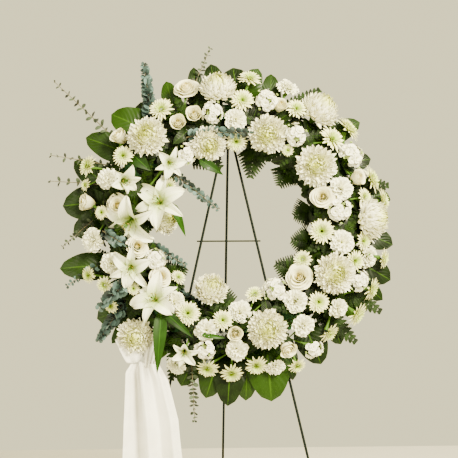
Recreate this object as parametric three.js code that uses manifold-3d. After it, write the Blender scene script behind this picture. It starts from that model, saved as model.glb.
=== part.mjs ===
// A standing funeral wreath: a ring of floral foam dressed with greens, chrysanthemums, lilies, roses,
// carnations, daisies and stock, hung on the hook of a folding wire easel, with a white ribbon tied low
// on it. Millimetres, +Z up. The origin is on the floor, under the middle of the whole piece, and the
// viewer stands at -Y.
// The wreath and the easel's front frame lean back together, so both are drawn in one leaning frame:
// x to the viewer's right, y out of the back of the wreath, z up its face, from the centre of the ring.
import * as THREE from "three";
import { mergeVertices } from "three/addons/utils/BufferGeometryUtils.js";
import Module from "manifold-3d";

const wasm = await Module();
wasm.setup();

// Driving dimensions
const LEG_LENGTH = 1372; // a 54 inch easel
const LEG_WIRE = 7;
const BAR_WIRE = 4;
const LEAN = THREE.MathUtils.degToRad(12);
const LEG_SPREAD = Math.atan(0.227);
const REAR_ANGLE = THREE.MathUtils.degToRad(32); // from the front frame
const APEX_UP = 263; // the easel's top above the ring's centre
const PIN_UP = 215;
const BAR_UP = -39;
const RING_R = 278; // middle of the foam
const FOAM_HALF = 40;
const FOAM_BACK = -8.3;
const FOAM_FRONT = -58;
const TRAY_BACK = -3.8;
const TUBE_Y = -32; // the foam's core, which every stem points at
const SIDE_REACH = 105;
const FRONT_REACH = 82;
const HUB_SIDE = 62; // where a bunch's stems meet, just outside the greens
const HUB_FRONT = 51;
const GAP = 0.8;
const SECTORS = 6;
const WREATH_Z = (LEG_LENGTH * Math.cos(LEG_SPREAD) - APEX_UP) * Math.cos(LEAN);

const V = (x, y, z) => new THREE.Vector3(x, y, z);
const FRONT = V(0, -1, 0);
const UP = V(0, 0, 1);
const mix = (a, b, t) => a.clone().lerp(b, t);
const polar = (radius, degrees, y) => {
  const a = THREE.MathUtils.degToRad(degrees);
  return V(radius * Math.cos(a), y, radius * Math.sin(a));
};

// Colours and finishes
const finish = (color, roughness, metalness = 0) =>
  new THREE.MeshStandardMaterial({ color, roughness, metalness });
const enamel = finish(0x16301c, 0.45, 0.1);
const foamGreen = finish(0x2f5a34, 0.95);
const trayPlastic = finish(0x1d3d24, 0.5);
const leafGreen = finish(0x2f5c14, 0.5);
const eucalyptusBlue = finish(0x7c9a94, 0.7);
const petalWhite = finish(0xf4f3e6, 0.7);
const mumCream = finish(0xf1f0d8, 0.75);
const lilyWhite = finish(0xf8f8f2, 0.55);
const satinWhite = finish(0xf1f0ee, 0.35);

// Solids
function solid(geometry) {
  const bare = geometry.index ? geometry.toNonIndexed() : geometry.clone();
  bare.deleteAttribute("normal");
  bare.deleteAttribute("uv");
  const merged = mergeVertices(bare, 1e-4);
  const triVerts = new Uint32Array(merged.index.array);
  const vertProperties = merged.attributes.position.array;
  return new wasm.Manifold(new wasm.Mesh({ numProp: 3, vertProperties, triVerts }));
}

// One closed skin from rings of points between a low and a high end point, turned to face outwards.
function closedRings(low, rows, high) {
  const sides = rows[0].length;
  const points = [low, ...rows.flat(), high];
  const index = [];
  const at = (j, i) => 1 + j * sides + (i % sides);
  for (let i = 0; i < sides; i++) {
    index.push(0, at(0, i + 1), at(0, i));
    for (let j = 0; j + 1 < rows.length; j++) {
      index.push(at(j, i), at(j, i + 1), at(j + 1, i));
      index.push(at(j, i + 1), at(j + 1, i + 1), at(j + 1, i));
    }
    index.push(at(rows.length - 1, i), at(rows.length - 1, i + 1), points.length - 1);
  }
  return facingOut(points, index);
}

function facingOut(points, index) {
  let volume = 0;
  for (let i = 0; i < index.length; i += 3) {
    const [a, b, c] = [points[index[i]], points[index[i + 1]], points[index[i + 2]]];
    volume += a.dot(b.clone().cross(c));
  }
  if (volume < 0) index.reverse();
  const geometry = new THREE.BufferGeometry().setFromPoints(points);
  geometry.setIndex(index);
  return geometry;
}

const placed = (geometry, at, axis, spin = 0) => {
  const turn = new THREE.Quaternion().setFromUnitVectors(UP, axis);
  turn.multiply(new THREE.Quaternion().setFromAxisAngle(UP, spin));
  return geometry.applyMatrix4(new THREE.Matrix4().compose(at, turn, V(1, 1, 1)));
};

function rod(from, to, radius, sides, endRadius = radius) {
  const axis = to.clone().sub(from);
  const geometry = new THREE.CylinderGeometry(endRadius, radius, axis.length(), sides).rotateX(Math.PI / 2);
  return solid(placed(geometry, mix(from, to, 0.5), axis.normalize()));
}

const union = (solids) => solids.reduce((a, b) => a.add(b));

// What a solid leaves once the pieces already in place, with their clearance, are taken out of it.
const boxesMeet = (a, b) => [0, 1, 2].every((k) => a.min[k] < b.max[k] && b.min[k] < a.max[k]);
const clearOf = (body, others) => {
  let left = body;
  for (const other of others) {
    if (boxesMeet(left.boundingBox(), other.boundingBox())) left = left.subtract(other);
  }
  return left;
};

const leaning = new THREE.Group();
leaning.rotation.x = -LEAN;
leaning.position.set(0, 0, WREATH_Z);
leaning.updateMatrixWorld(true);

// The largest body of a solid as a named mesh: scraps that a cut left loose are dropped.
function piece(name, body, material) {
  const parts = body.simplify(0.25).decompose();
  parts.sort((a, b) => b.volume() - a.volume());
  const { numProp, vertProperties, triVerts } = parts[0].getMesh();
  const points = [];
  for (let i = 0; i < vertProperties.length; i += numProp) {
    points.push(...vertProperties.subarray(i, i + 3));
  }
  const geometry = new THREE.BufferGeometry();
  geometry.setAttribute("position", new THREE.Float32BufferAttribute(points, 3));
  geometry.setIndex(new THREE.BufferAttribute(new Uint32Array(triVerts), 1));
  const mesh = new THREE.Mesh(geometry, material);
  mesh.name = name;
  leaning.add(mesh);
  return mesh;
}

// The wire easel: two front legs that meet at the top, a bar across them, a hook that the ring hangs on,
// and a rear leg whose eye turns on a pin behind the front legs. A heel above the eye meets the hook's
// shank and stops the leg when it is open. The feet are cut flat on the floor.
const floor = solid(
  new THREE.BoxGeometry(4000, 4000, 200)
    .translate(0, 0, -100)
    .applyMatrix4(leaning.matrixWorld.clone().invert()),
);
const legRadius = LEG_WIRE / 2;
const barRadius = BAR_WIRE / 2;
const apex = V(0, 0, APEX_UP);
const legSide = Math.sin(LEG_SPREAD);
const legDown = -Math.cos(LEG_SPREAD);
const topClear = (legRadius + GAP / 2) / Math.cos(LEG_SPREAD);
for (const side of [-1, 1]) {
  const top = apex.clone().add(V(side * topClear, 0, 0));
  const foot = top.clone().add(V(side * legSide, 0, legDown).multiplyScalar(LEG_LENGTH + 20));
  const leg = rod(top, foot, legRadius, 10);
  const half = solid(new THREE.BoxGeometry(1000, 100, 4000).translate(side * (500 + GAP / 2), 0, 0));
  piece(side < 0 ? "easel_leg_left" : "easel_leg_right", leg.intersect(half).subtract(floor), enamel);
}

const barHalf = Math.tan(LEG_SPREAD) * (APEX_UP - BAR_UP) + topClear + 12;
const barY = legRadius + barRadius + GAP;
piece("easel_crossbar", rod(V(-barHalf, barY, BAR_UP), V(barHalf, barY, BAR_UP), barRadius, 8), enamel);

const hookRadius = 3;
const hookUp = (RING_R - FOAM_HALF) * Math.cos(Math.PI / 24) - hookRadius - GAP;
const hookStart = V(0, legRadius + hookRadius + GAP, hookUp);
const hookEnd = V(0, -72, hookUp);
const hookTip = V(0, -76, hookUp + 16);
const hookBrace = V(0, legRadius + hookRadius + GAP, APEX_UP - 2);
const hookGap = hookRadius + GAP;
const hook = union([
  rod(hookStart.clone().add(V(0, hookRadius, 0)), hookEnd, hookRadius, 8),
  rod(hookEnd.clone().add(V(0, 0.5, -2)), hookTip, hookRadius, 8),
  rod(hookStart.clone().add(V(0, 0, -2)), hookBrace, hookRadius, 8),
]);
const legSlots = [-1, 1].map((side) =>
  rod(
    apex.clone().add(V(side * topClear, 0, 0)),
    apex.clone().add(V(side * (topClear + legSide * 120), 0, legDown * 120)),
    legRadius + GAP,
    10,
  ),
);
piece("easel_hook", clearOf(hook, legSlots), enamel);
const hookClear = union([
  rod(hookStart, hookEnd.clone().add(V(0, -hookGap, 0)), hookGap, 8),
  rod(hookEnd.clone().add(V(0, 0, -3)), hookTip.clone().add(V(0, 0, GAP)), hookGap, 8),
]);

const pinRadius = 2.5;
const pinY = legRadius + pinRadius + GAP;
const eyeHalf = 3.5;
piece("easel_hinge_pin", rod(V(-18, pinY, PIN_UP), V(18, pinY, PIN_UP), pinRadius, 8), enamel);

const rearAxis = V(0, Math.sin(REAR_ANGLE), -Math.cos(REAR_ANGLE));
const pinCentre = V(0, pinY, PIN_UP);
const eyeOuter = 8;
const eye = rod(V(-eyeHalf, pinY, PIN_UP), V(eyeHalf, pinY, PIN_UP), eyeOuter, 12);
const eyeHole = rod(V(-9, pinY, PIN_UP), V(9, pinY, PIN_UP), pinRadius + GAP, 12);
const rearFoot = pinCentre.clone().addScaledVector(rearAxis, LEG_LENGTH + 60);
const rearLeg = rod(pinCentre.clone().addScaledVector(rearAxis, eyeOuter - 3), rearFoot, legRadius, 10);
const heelRadius = 2.5;
const heelTop = V(0, hookBrace.y + hookRadius + GAP * 1.5 + heelRadius, PIN_UP + 26);
const heel = rod(pinCentre.clone().add(V(0, 5.6, -2)), heelTop, heelRadius, 8);
piece("easel_rear_leg", union([eye, rearLeg, heel]).subtract(eyeHole).subtract(floor), enamel);

// The foam ring in its plastic tray, a flat of its inner face resting on the hook.
const LATHE_SIDES = 24;
const ringOf = (profile, sides = LATHE_SIDES) => {
  const points = profile.map(([across, y]) => new THREE.Vector2(RING_R + across, y));
  return solid(new THREE.LatheGeometry([...points, points[0]], sides, Math.PI / sides));
};
const foam = ringOf([
  [-FOAM_HALF, FOAM_BACK],
  [-FOAM_HALF, FOAM_FRONT + 8],
  [-FOAM_HALF + 9, FOAM_FRONT],
  [FOAM_HALF - 9, FOAM_FRONT],
  [FOAM_HALF, FOAM_FRONT + 8],
  [FOAM_HALF, FOAM_BACK],
]);
const foamClear = ringOf([
  [-FOAM_HALF - GAP, 0],
  [-FOAM_HALF - GAP, FOAM_FRONT + 8 - GAP],
  [-FOAM_HALF + 9, FOAM_FRONT - GAP],
  [FOAM_HALF - 9, FOAM_FRONT - GAP],
  [FOAM_HALF + GAP, FOAM_FRONT + 8 - GAP],
  [FOAM_HALF + GAP, 0],
]);
const tray = ringOf([
  [-FOAM_HALF, TRAY_BACK],
  [-FOAM_HALF, FOAM_BACK + GAP],
  [FOAM_HALF, FOAM_BACK + GAP],
  [FOAM_HALF, TRAY_BACK],
]);
piece("foam_tray", tray, trayPlastic);

// Where a bloom seen at x, z on the wreath's face sits, and the way that it looks.
const MOST_TILT = THREE.MathUtils.degToRad(74);
function seat(x, z, lift = 0) {
  const out = V(x, 0, z).normalize();
  const across = V(x, 0, z).length() - RING_R;
  const limit = Math.sin(MOST_TILT);
  const tilt = Math.asin(THREE.MathUtils.clamp(across / SIDE_REACH, -limit, limit));
  const core = out.clone().multiplyScalar(RING_R).setY(TUBE_Y);
  const reach = Math.max(1, Math.abs(across) / (SIDE_REACH * limit));
  const arm = out.clone().multiplyScalar(Math.sin(tilt) * SIDE_REACH * reach);
  arm.y = -Math.cos(tilt) * FRONT_REACH;
  const axis = arm.clone().normalize();
  const hub = core.clone().addScaledVector(out, Math.sin(tilt) * HUB_SIDE);
  hub.y -= Math.cos(tilt) * HUB_FRONT;
  return { core, axis, hub, head: core.clone().add(arm).addScaledVector(axis, lift) };
}

// A head of petals: rings of [radius, height] pairs, tips and hollows by turns, with each ring's tips over
// the hollows of the ring below it.
function petalled(size, petals, rows, low, high) {
  const sides = petals * 2;
  const rings = rows.map(([tip, tipUp, hollow, hollowUp], j) =>
    Array.from({ length: sides }, (_, i) => {
      const isTip = (i + j) % 2 === 0;
      const a = (i / sides) * 2 * Math.PI;
      const r = size * (isTip ? tip : hollow);
      return V(r * Math.cos(a), r * Math.sin(a), size * (isTip ? tipUp : hollowUp));
    }),
  );
  return closedRings(V(0, 0, size * low), rings, V(0, 0, size * high));
}

const KINDS = {
  mum: {
    petals: 8,
    low: -0.6,
    high: 0.56,
    rows: [
      [0.14, -0.56, 0.14, -0.56],
      [1, -0.06, 0.86, -0.18],
      [0.84, 0.34, 0.66, 0.22],
      [0.46, 0.58, 0.3, 0.42],
    ],
  },
  carnation: {
    petals: 5,
    low: -0.9,
    high: 0.4,
    rows: [
      [0.16, -0.7, 0.14, -0.7],
      [1, -0.02, 0.82, -0.14],
      [0.62, 0.4, 0.4, 0.2],
    ],
  },
  rose: {
    petals: 5,
    low: -0.9,
    high: 0.36,
    rows: [
      [0.3, -0.8, 0.3, -0.8],
      [1, 0.04, 0.84, -0.06],
      [0.56, 0.48, 0.48, 0.36],
    ],
  },
  daisy: {
    petals: 6,
    low: -0.4,
    high: 0.34,
    rows: [
      [0.16, -0.36, 0.16, -0.36],
      [1, 0.08, 0.74, -0.02],
    ],
  },
  stock: {
    petals: 5,
    low: -0.9,
    high: 0.66,
    rows: [
      [0.4, -0.7, 0.4, -0.7],
      [1, 0, 0.8, -0.1],
      [0.6, 0.56, 0.36, 0.36],
    ],
  },
};

// The plain shell that holds a head, with a corner over each petal tip, which its neighbours stay out of.
function shellOf(kind, size) {
  const { petals, rows, low, high } = KINDS[kind];
  const rings = rows.flatMap(([tip, tipUp, hollow, hollowUp]) => [[tip, tipUp], [hollow, hollowUp]]);
  const top = Math.max(high, ...rings.map(([, up]) => up));
  const points = [[0, low], ...rings, [0, top]].sort((a, b) => a[1] - b[1]);
  const hull = [];
  for (const [r, up] of points) {
    const turn = () => {
      const [[ar, au], [br, bu]] = hull.slice(-2);
      return (br - ar) * (up - au) - (bu - au) * (r - ar);
    };
    while (hull.length > 1 && turn() <= 0) hull.pop();
    hull.push([r, up]);
  }
  const profile = hull.map(([r, up], i) => {
    const past = (i === hull.length - 1 ? GAP * 2 : 0) - (i === 0 ? GAP * 2 : 0);
    return new THREE.Vector2(r ? r * size + GAP * 1.5 : 0, up * size + past);
  });
  return new THREE.LatheGeometry(profile, petals * 2).rotateX(Math.PI / 2).rotateZ(Math.PI / 2);
}

const STEM = 2.6;
const STEM_END = 0.9;
const STEM_GAP = 0.45;
const STEM_ROOM = 1.16; // a six-sided sleeve's corners over the round that it clears

// A head whose calyx runs on as a tapering stem down to its foot.
function bloomHead(kind, size, at, axis, spin, foot) {
  const { petals, rows, low, high } = KINDS[kind];
  const skin = placed(petalled(size, petals, rows, low, high), at, axis, spin);
  skin.attributes.position.setXYZ(0, foot.x, foot.y, foot.z);
  const [calyx, calyxUp] = rows[0];
  const calyxAt = at.clone().addScaledVector(axis, calyxUp * size + GAP);
  const stemEnd = foot.clone().addScaledVector(foot.clone().sub(calyxAt).normalize(), GAP * 2);
  return {
    body: solid(skin),
    clear: solid(placed(shellOf(kind, size), at, axis, spin)),
    stemClear: rod(calyxAt, stemEnd, (calyx * size + STEM_GAP) * STEM_ROOM, 6, STEM_END),
  };
}

const KNOT = 6; // how far a pick rises past the point where its stems meet
function stemOf(from, to, radius = STEM) {
  const pastEnd = to.clone().addScaledVector(to.clone().sub(from).normalize(), GAP);
  return {
    body: rod(from, to, radius, 4),
    clear: rod(mix(from, to, 0.05), pastEnd, radius + GAP * 1.5, 4),
  };
}

const taken = []; // clearances of everything in place so far
const inFoam = []; // clearances of the stems that stand in the foam

// Chrysanthemum heads: middle x and z on the wreath's face, and radius
const MUMS = [
  [-213, 221, 48],
  [-29, 346, 50],
  [-57, 207, 44],
  [99, 229, 48],
  [237, 295, 47],
  [224, 144, 51],
  [362, 8, 50],
  [265, -136, 51],
  [-52, -178, 44],
  [91, -277, 50],
  [-242, -290, 46],
  [-172, 22, 38],
];

// Lily stems, each with its open heads: x, z, radius, how far it stands out, and how open it is
const LILIES = [
  [
    [-208, 62, 66, 30, 1],
    [-266, 100, 42, 26, 0.45],
    [-164, 158, 44, 24, 0.6],
  ],
  [[-268, -12, 68, 30, 0.9]],
  [
    [-256, -124, 56, 34, 1],
    [-200, -196, 64, 34, 1],
  ],
  [[-117, -326, 38, 20, 0.5]],
];

// Bunches of small blooms wired on one pick each: kind, x, z, radius
const BUNCHES = {
  top: [
    ["carnation", 16, 268, 30],
    ["daisy", 34, 318, 30],
    ["daisy", 57, 385, 30],
    ["daisy", 18, 212, 27],
    ["stock", -44, 284, 30],
  ],
  top_right: [
    ["stock", 98, 318, 32],
    ["carnation", 159, 367, 31],
    ["rose", 133, 306, 24],
    ["daisy", 176, 298, 27],
  ],
  right_upper_inner: [
    ["stock", 172, 224, 31],
    ["daisy", 151, 186, 15],
    ["daisy", 268, 217, 31],
  ],
  right_upper: [
    ["daisy", 315, 250, 34],
    ["stock", 318, 176, 36],
    ["rose", 334, 116, 26],
    ["daisy", 374, 116, 33],
  ],
  right: [
    ["carnation", 290, 88, 32],
    ["rose", 240, 64, 27],
    ["stock", 283, 28, 33],
    ["daisy", 351, 66, 22],
    ["daisy", 403, 61, 28],
  ],
  right_lower: [
    ["daisy", 237, -26, 32],
    ["carnation", 289, -55, 33],
    ["daisy", 346, -50, 22],
    ["daisy", 322, -102, 25],
    ["carnation", 369, -88, 30],
    ["daisy", 402, -92, 24],
  ],
  bottom_right_inner: [
    ["daisy", 187, -98, 24],
    ["rose", 177, -144, 31],
    ["carnation", 166, -205, 32],
    ["daisy", 225, -209, 27],
  ],
  bottom_right_outer: [
    ["stock", 335, -152, 29],
    ["daisy", 369, -172, 28],
    ["daisy", 330, -238, 31],
    ["carnation", 283, -225, 28],
    ["daisy", 256, -286, 26],
  ],
  bottom_right: [
    ["carnation", 187, -271, 30],
    ["stock", 216, -327, 27],
    ["rose", 146, -327, 27],
    ["daisy", 172, -370, 23],
    ["carnation", 118, -378, 28],
  ],
  bottom_inner: [
    ["stock", 114, -174, 32],
    ["daisy", 62, -187, 24],
    ["carnation", 23, -229, 31],
    ["daisy", -22, -254, 26],
    ["rose", 10, -289, 23],
  ],
  bottom: [
    ["carnation", 13, -333, 31],
    ["daisy", 2, -388, 29],
    ["daisy", 66, -369, 28],
    ["daisy", -60, -375, 28],
  ],
  bottom_left: [
    ["carnation", -64, -280, 30],
    ["stock", -68, -330, 27],
    ["carnation", -142, -372, 28],
  ],
  left_lower_inner: [
    ["daisy", -112, -236, 31],
    ["carnation", -146, -203, 29],
    ["daisy", -135, -141, 19],
  ],
  left_inner: [
    ["rose", -240, -62, 27],
    ["stock", -195, -96, 28],
    ["rose", -180, -140, 25],
  ],
  left_lower: [
    ["carnation", -308, -106, 30],
    ["daisy", -367, -132, 22],
    ["daisy", -325, -160, 23],
    ["daisy", -309, -212, 20],
    ["daisy", -250, -172, 16],
  ],
  left: [
    ["rose", -291, 43, 27],
    ["daisy", -332, 26, 18],
    ["rose", -374, 58, 27],
    ["carnation", -361, -42, 33],
  ],
  left_upper: [
    ["carnation", -320, 116, 30],
    ["daisy", -369, 154, 28],
    ["daisy", -375, 104, 16],
    ["daisy", -276, 173, 27],
    ["rose", -286, 229, 27],
  ],
  left_upper_inner: [
    ["stock", -114, 176, 30],
    ["daisy", -160, 98, 22],
  ],
  top_left: [
    ["daisy", -177, 297, 31],
    ["rose", -134, 259, 25],
    ["rose", -92, 281, 25],
    ["rose", -112, 360, 29],
  ],
};

const ROOT_DEPTH = 14; // how far from the foam's core a stem's foot is
const CROWDING = 1.08; // small blooms are pressed a little by their neighbours

MUMS.forEach(([x, z, size], i) => {
  const { core, axis, head } = seat(x, z, 5);
  const foot = core.clone().addScaledVector(axis, ROOT_DEPTH);
  const bloom = bloomHead("mum", size, head, axis, i, foot);
  piece(`mum_${String(i + 1).padStart(2, "0")}`, clearOf(bloom.body, taken), mumCream);
  taken.push(bloom.clear, bloom.stemClear);
  inFoam.push(bloom.stemClear);
});

// A lily head is one thin skin of six lance petals that flare from the throat, with the pistil in it.
function lilyHead(size, open, extra) {
  const thick = 2.4 + extra * 2;
  const sides = 24;
  const outline = [1, 0.62, 0.24, 0.62];
  const scale = 1 + extra / size;
  const ring = (share, up, back, drop = 0) =>
    Array.from({ length: sides }, (_, i) => {
      const reach = outline[i % 4];
      const r = size * scale * Math.min(share, share * 0.3 + reach * share * 0.7) * (0.45 + 0.55 * open);
      const a = ((i + ((i % 4) - 2) * -0.12 * (i % 2)) / sides) * 2 * Math.PI;
      return V(r * Math.cos(a), r * Math.sin(a), up * size - back - drop * size * (reach > 0.9 ? 1 : 0));
    });
  const tall = 1.4 - open;
  const rows = [
    ring(0.6, tall * 0.1, thick),
    ring(1, tall * 0.55 - 0.02, thick * 0.5, open * 0.18),
    ring(0.6, tall * 0.1, 0),
  ];
  return closedRings(V(0, 0, -0.95 * size), rows, V(0, 0, -0.4 * size));
}

LILIES.forEach((heads, n) => {
  const root = seat(heads[0][0], heads[0][1]);
  const knot = root.hub.clone().addScaledVector(root.axis, KNOT);
  const pick = stemOf(knot, root.core.clone().addScaledVector(root.axis, ROOT_DEPTH), 4);
  const bodies = [pick.body];
  const clears = [pick.clear];
  inFoam.push(pick.clear);
  heads.forEach(([x, z, size, lift, open], k) => {
    const { axis, head } = seat(x, z, lift);
    const face = mix(axis, FRONT, 0.35).normalize();
    const stem = stemOf(head.clone().addScaledVector(face, -0.84 * size), root.hub, 3);
    bodies.push(solid(placed(lilyHead(size, open, 0), head, face, k + n)), stem.body);
    clears.push(solid(placed(lilyHead(size, open, 0.8), head, face, k + n)), stem.clear);
  });
  piece(`lily_${n + 1}`, clearOf(union(bodies), taken), lilyWhite);
  taken.push(...clears);
});

Object.entries(BUNCHES).forEach(([name, blooms]) => {
  const seats = blooms.map(([, x, z]) => seat(x, z));
  const middle = seats.reduce((sum, s) => sum.add(s.head), V(0, 0, 0)).divideScalar(seats.length);
  const { core, axis, hub } = seat(middle.x, middle.z);
  const knot = hub.clone().addScaledVector(axis, KNOT);
  const pick = stemOf(knot, core.clone().addScaledVector(axis, ROOT_DEPTH), 4.5);
  const bodies = [clearOf(pick.body, taken)];
  const clears = [pick.clear];
  inFoam.push(pick.clear);
  blooms.forEach(([kind, , , size], i) => {
    const { head, axis: face } = seats[i];
    const bloom = bloomHead(kind, size * CROWDING, head, face, i * 1.3, hub);
    bodies.push(clearOf(bloom.body, taken));
    clears.push(bloom.clear, bloom.stemClear);
  });
  piece(`bunch_${name}`, union(bodies), petalWhite);
  taken.push(...clears);
});

// Leaves, fern fronds and eucalyptus
function leafSkin(root, tip, width, cup, thick, widths = [0.9, 0.86]) {
  const axis = tip.clone().sub(root);
  const side = axis.clone().cross(FRONT).normalize();
  const face = side.clone().cross(axis).normalize();
  const rows = widths.map((w, j) => {
    const t = (j + 1) / (widths.length + 1);
    const middle = mix(root, tip, t).addScaledVector(face, cup * Math.sin(Math.PI * t));
    const half = (width / 2) * w;
    return [
      middle.clone().addScaledVector(side, half),
      middle.clone().addScaledVector(side, -half),
      middle.clone().addScaledVector(face, -thick),
    ];
  });
  return closedRings(root, rows, tip);
}
const leaf = (root, tip, width, cup = 4, widths) => ({
  body: solid(leafSkin(root, tip, width, cup, 2, widths)),
  clear: solid(leafSkin(root, tip, width * 1.03, cup, 3.2, widths)),
});

// A stem with a leaflet each side at every step, all one skin: the leaflets are cut to the rib.
function pinnate(root, tip, { width, pairs, arch, sweep, round, twist, thick = 2, shape }) {
  const axis = tip.clone().sub(root);
  const side = axis.clone().cross(FRONT).normalize();
  const face = side.clone().cross(axis).normalize();
  const along = (t) => mix(root, tip, t).addScaledVector(face, arch * Math.sin(Math.PI * t));
  const points = [];
  const index = [];
  const step = 0.86 / pairs;
  const rib = (i) => {
    const t = 0.08 + step * i;
    const turn = twist * i;
    const s = side.clone().multiplyScalar(Math.cos(turn)).addScaledVector(face, Math.sin(turn));
    const f = face.clone().multiplyScalar(Math.cos(turn)).addScaledVector(side, -Math.sin(turn));
    return { at: along(t), s, f, t };
  };
  const half = thick / 2;
  for (let i = 0; i <= pairs; i++) {
    const { at, s, f } = rib(i);
    points.push(at.clone().addScaledVector(s, half), at.clone().addScaledVector(f, half));
    points.push(at.clone().addScaledVector(s, -half), at.clone().addScaledVector(f, -half));
  }
  const low = points.push(root.clone()) - 1;
  const high = points.push(tip.clone()) - 1;
  for (let k = 0; k < 4; k++) {
    index.push(low, k, (k + 1) % 4);
    index.push(pairs * 4 + ((k + 1) % 4), pairs * 4 + k, high);
  }
  for (let i = 0; i < pairs; i++) {
    const { at, s, t } = rib(i + 0.5);
    const reach = (width / 2) * shape(t);
    for (const sign of [1, -1]) {
      const out = (share, ahead) =>
        points.push(
          at.clone().addScaledVector(s, sign * reach * share).addScaledVector(axis, step * ahead),
        ) - 1;
      const edge = round ? [out(0.86, -0.4), out(1, 0.4)] : [out(1, sweep)];
      const [R, T, B] = sign > 0 ? [0, 1, 3] : [2, 3, 1];
      const [a, b] = [i * 4, i * 4 + 4];
      const top = [a + T, ...edge, b + T];
      for (let k = 1; k + 1 < top.length; k++) index.push(top[0], top[k], top[k + 1]);
      const bottom = [b + B, ...edge.slice().reverse(), a + B];
      for (let k = 1; k + 1 < bottom.length; k++) index.push(bottom[0], bottom[k], bottom[k + 1]);
      index.push(a + T, a + R, edge[0], a + R, a + B, edge[0]);
      const last = edge[edge.length - 1];
      index.push(b + R, b + T, last, b + B, b + R, last);
    }
  }
  return facingOut(points, index);
}
const FERN = { width: 52, pairs: 5, arch: 6, sweep: 0.9, round: false, twist: 0, shape: (t) => 1.15 - t };
const EUCALYPTUS = {
  width: 30,
  pairs: 6,
  arch: 8,
  sweep: 0,
  round: true,
  twist: 0.5,
  shape: (t) => 1.1 - 0.5 * t,
};
const pinnatePiece = (root, tip, style) => ({
  body: solid(pinnate(root, tip, style)),
  clear: solid(
    pinnate(root, tip, { ...style, thick: (style.thick ?? 2) + 2.2, width: style.width * 1.05 }),
  ),
});

// Salal leaves round the rim: tip angle and reach, width, how far its foot is turned, and depth of the tip
const SALAL = [
  [173, 440, 62, -4, -26],
  [167, 405, 44, 6, -16],
  [157, 443, 46, 5, -20],
  [148, 444, 48, -4, -24],
  [136, 430, 58, -6, -20],
  [125, 405, 46, 4, -14],
  [113, 421, 34, 2, -16],
  [102, 434, 30, 3, -22],
  [96, 434, 42, -2, -28],
  [88, 424, 62, -3, -20],
  [79, 428, 44, 5, -26],
  [74, 424, 36, -4, -16],
  [38, 448, 42, 6, -20],
  [25, 420, 40, 4, -16],
  [9, 437, 44, 7, -16],
  [-7, 437, 46, 5, -24],
  [-19, 451, 54, 4, -20],
  [-26, 452, 36, 4, -14],
  [-36, 424, 36, 4, -18],
  [-47, 430, 40, 5, -16],
  [-57, 437, 54, 4, -24],
  [-68, 440, 30, 4, -16],
  [-77, 474, 74, 4, -26],
  [-85, 462, 44, 3, -14],
  [-91, 473, 54, 2, -26],
  [-98, 457, 52, 3, -18],
  [-107, 440, 46, 3, -14],
  [-122, 420, 40, 3, -16],
  [-135, 436, 26, -3, -26],
  [-145, 424, 50, 5, -20],
  [-166, 458, 48, 5, -24],
  [-178, 410, 48, -4, -14],
];
// Fern fronds: foot angle, tip angle, reach and tip depth; a short reach lies in the ring's opening
const FERNS = [
  [62, 56, 436, -26],
  [18, 14, 436, -22],
  [-30, -30, 458, -22],
  [-44, -43, 452, -16],
  [-112, -111, 430, -22],
  [116, 98, 156, -26],
  [72, 66, 142, -26],
  [44, 38, 172, -30],
  [10, 8, 176, -24],
  [-12, -14, 172, -30],
  [-34, -40, 162, -26],
  [-94, -100, 158, -22],
  [-142, -136, 162, -26],
  [168, 162, 160, -22],
];
// Sprays of eucalyptus among the greens: foot x and z, tip x, depth and z, width, pairs of leaves
const SMALL_SPRAYS = [
  [-345, 188, -468, -34, 186, 26, 4],
  [-350, 122, -470, -30, 118, 26, 4],
  [-345, 50, -436, -40, -56, 24, 4],
  [-176, -28, -116, -36, -106, 30, 4],
  [-150, -150, -84, -40, -206, 34, 4],
];
const SPRAYS = {
  left_long: [-318, 236, -460, -28, 384, 22, 8],
  tall: [-206, 262, -222, -30, 430, 34, 7],
  top: [-130, 322, -46, -28, 474, 26, 7],
  left_low: [-318, -86, -425, -22, -157, 36, 6],
  bottom_left: [-262, -182, -340, -40, -300, 38, 6],
  opening: [-150, 138, -30, -50, 40, 32, 6],
  hanging: [-108, -320, -94, -22, -512, 28, 7],
};

const inBed = (radius, degrees, y = -30) => polar(radius, degrees, y);
const sectorOf = (x, z) => {
  const turn = 360 / SECTORS;
  const degrees = (THREE.MathUtils.radToDeg(Math.atan2(z, x)) + 360) % 360;
  return Math.floor(degrees / turn) % SECTORS;
};

// The bed of greens over the foam, in one piece per sector, its face raised in leafy points.
const BED = [
  [50, -9],
  [52, -34],
  [42, -60],
  [16, -74],
  [-14, -73],
  [-41, -61],
  [-52, -36],
  [-49, -9],
];
const EDGE = 0.06; // degrees between one sector and the next
function bedSkin(sector, swell = 0) {
  const turn = 360 / SECTORS;
  const edge = EDGE - swell * 8;
  const steps = 5;
  const rows = Array.from({ length: steps + 1 }, (_, i) => {
    const degrees = sector * turn + edge + ((turn - 2 * edge) * i) / steps;
    return BED.map(([across, y], j) => {
      const inside = i > 0 && i < steps && j > 0 && j < BED.length - 1;
      const raise = (inside ? 1 + 0.08 * ((i + j) % 2 ? 1 : -1) : 1) + swell;
      return polar(RING_R + across * raise, degrees, TUBE_Y + (y - TUBE_Y) * raise);
    });
  });
  const end = (i) => polar(RING_R, sector * turn + (i ? turn - edge : edge), TUBE_Y);
  return closedRings(end(0), rows, end(1));
}

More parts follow.
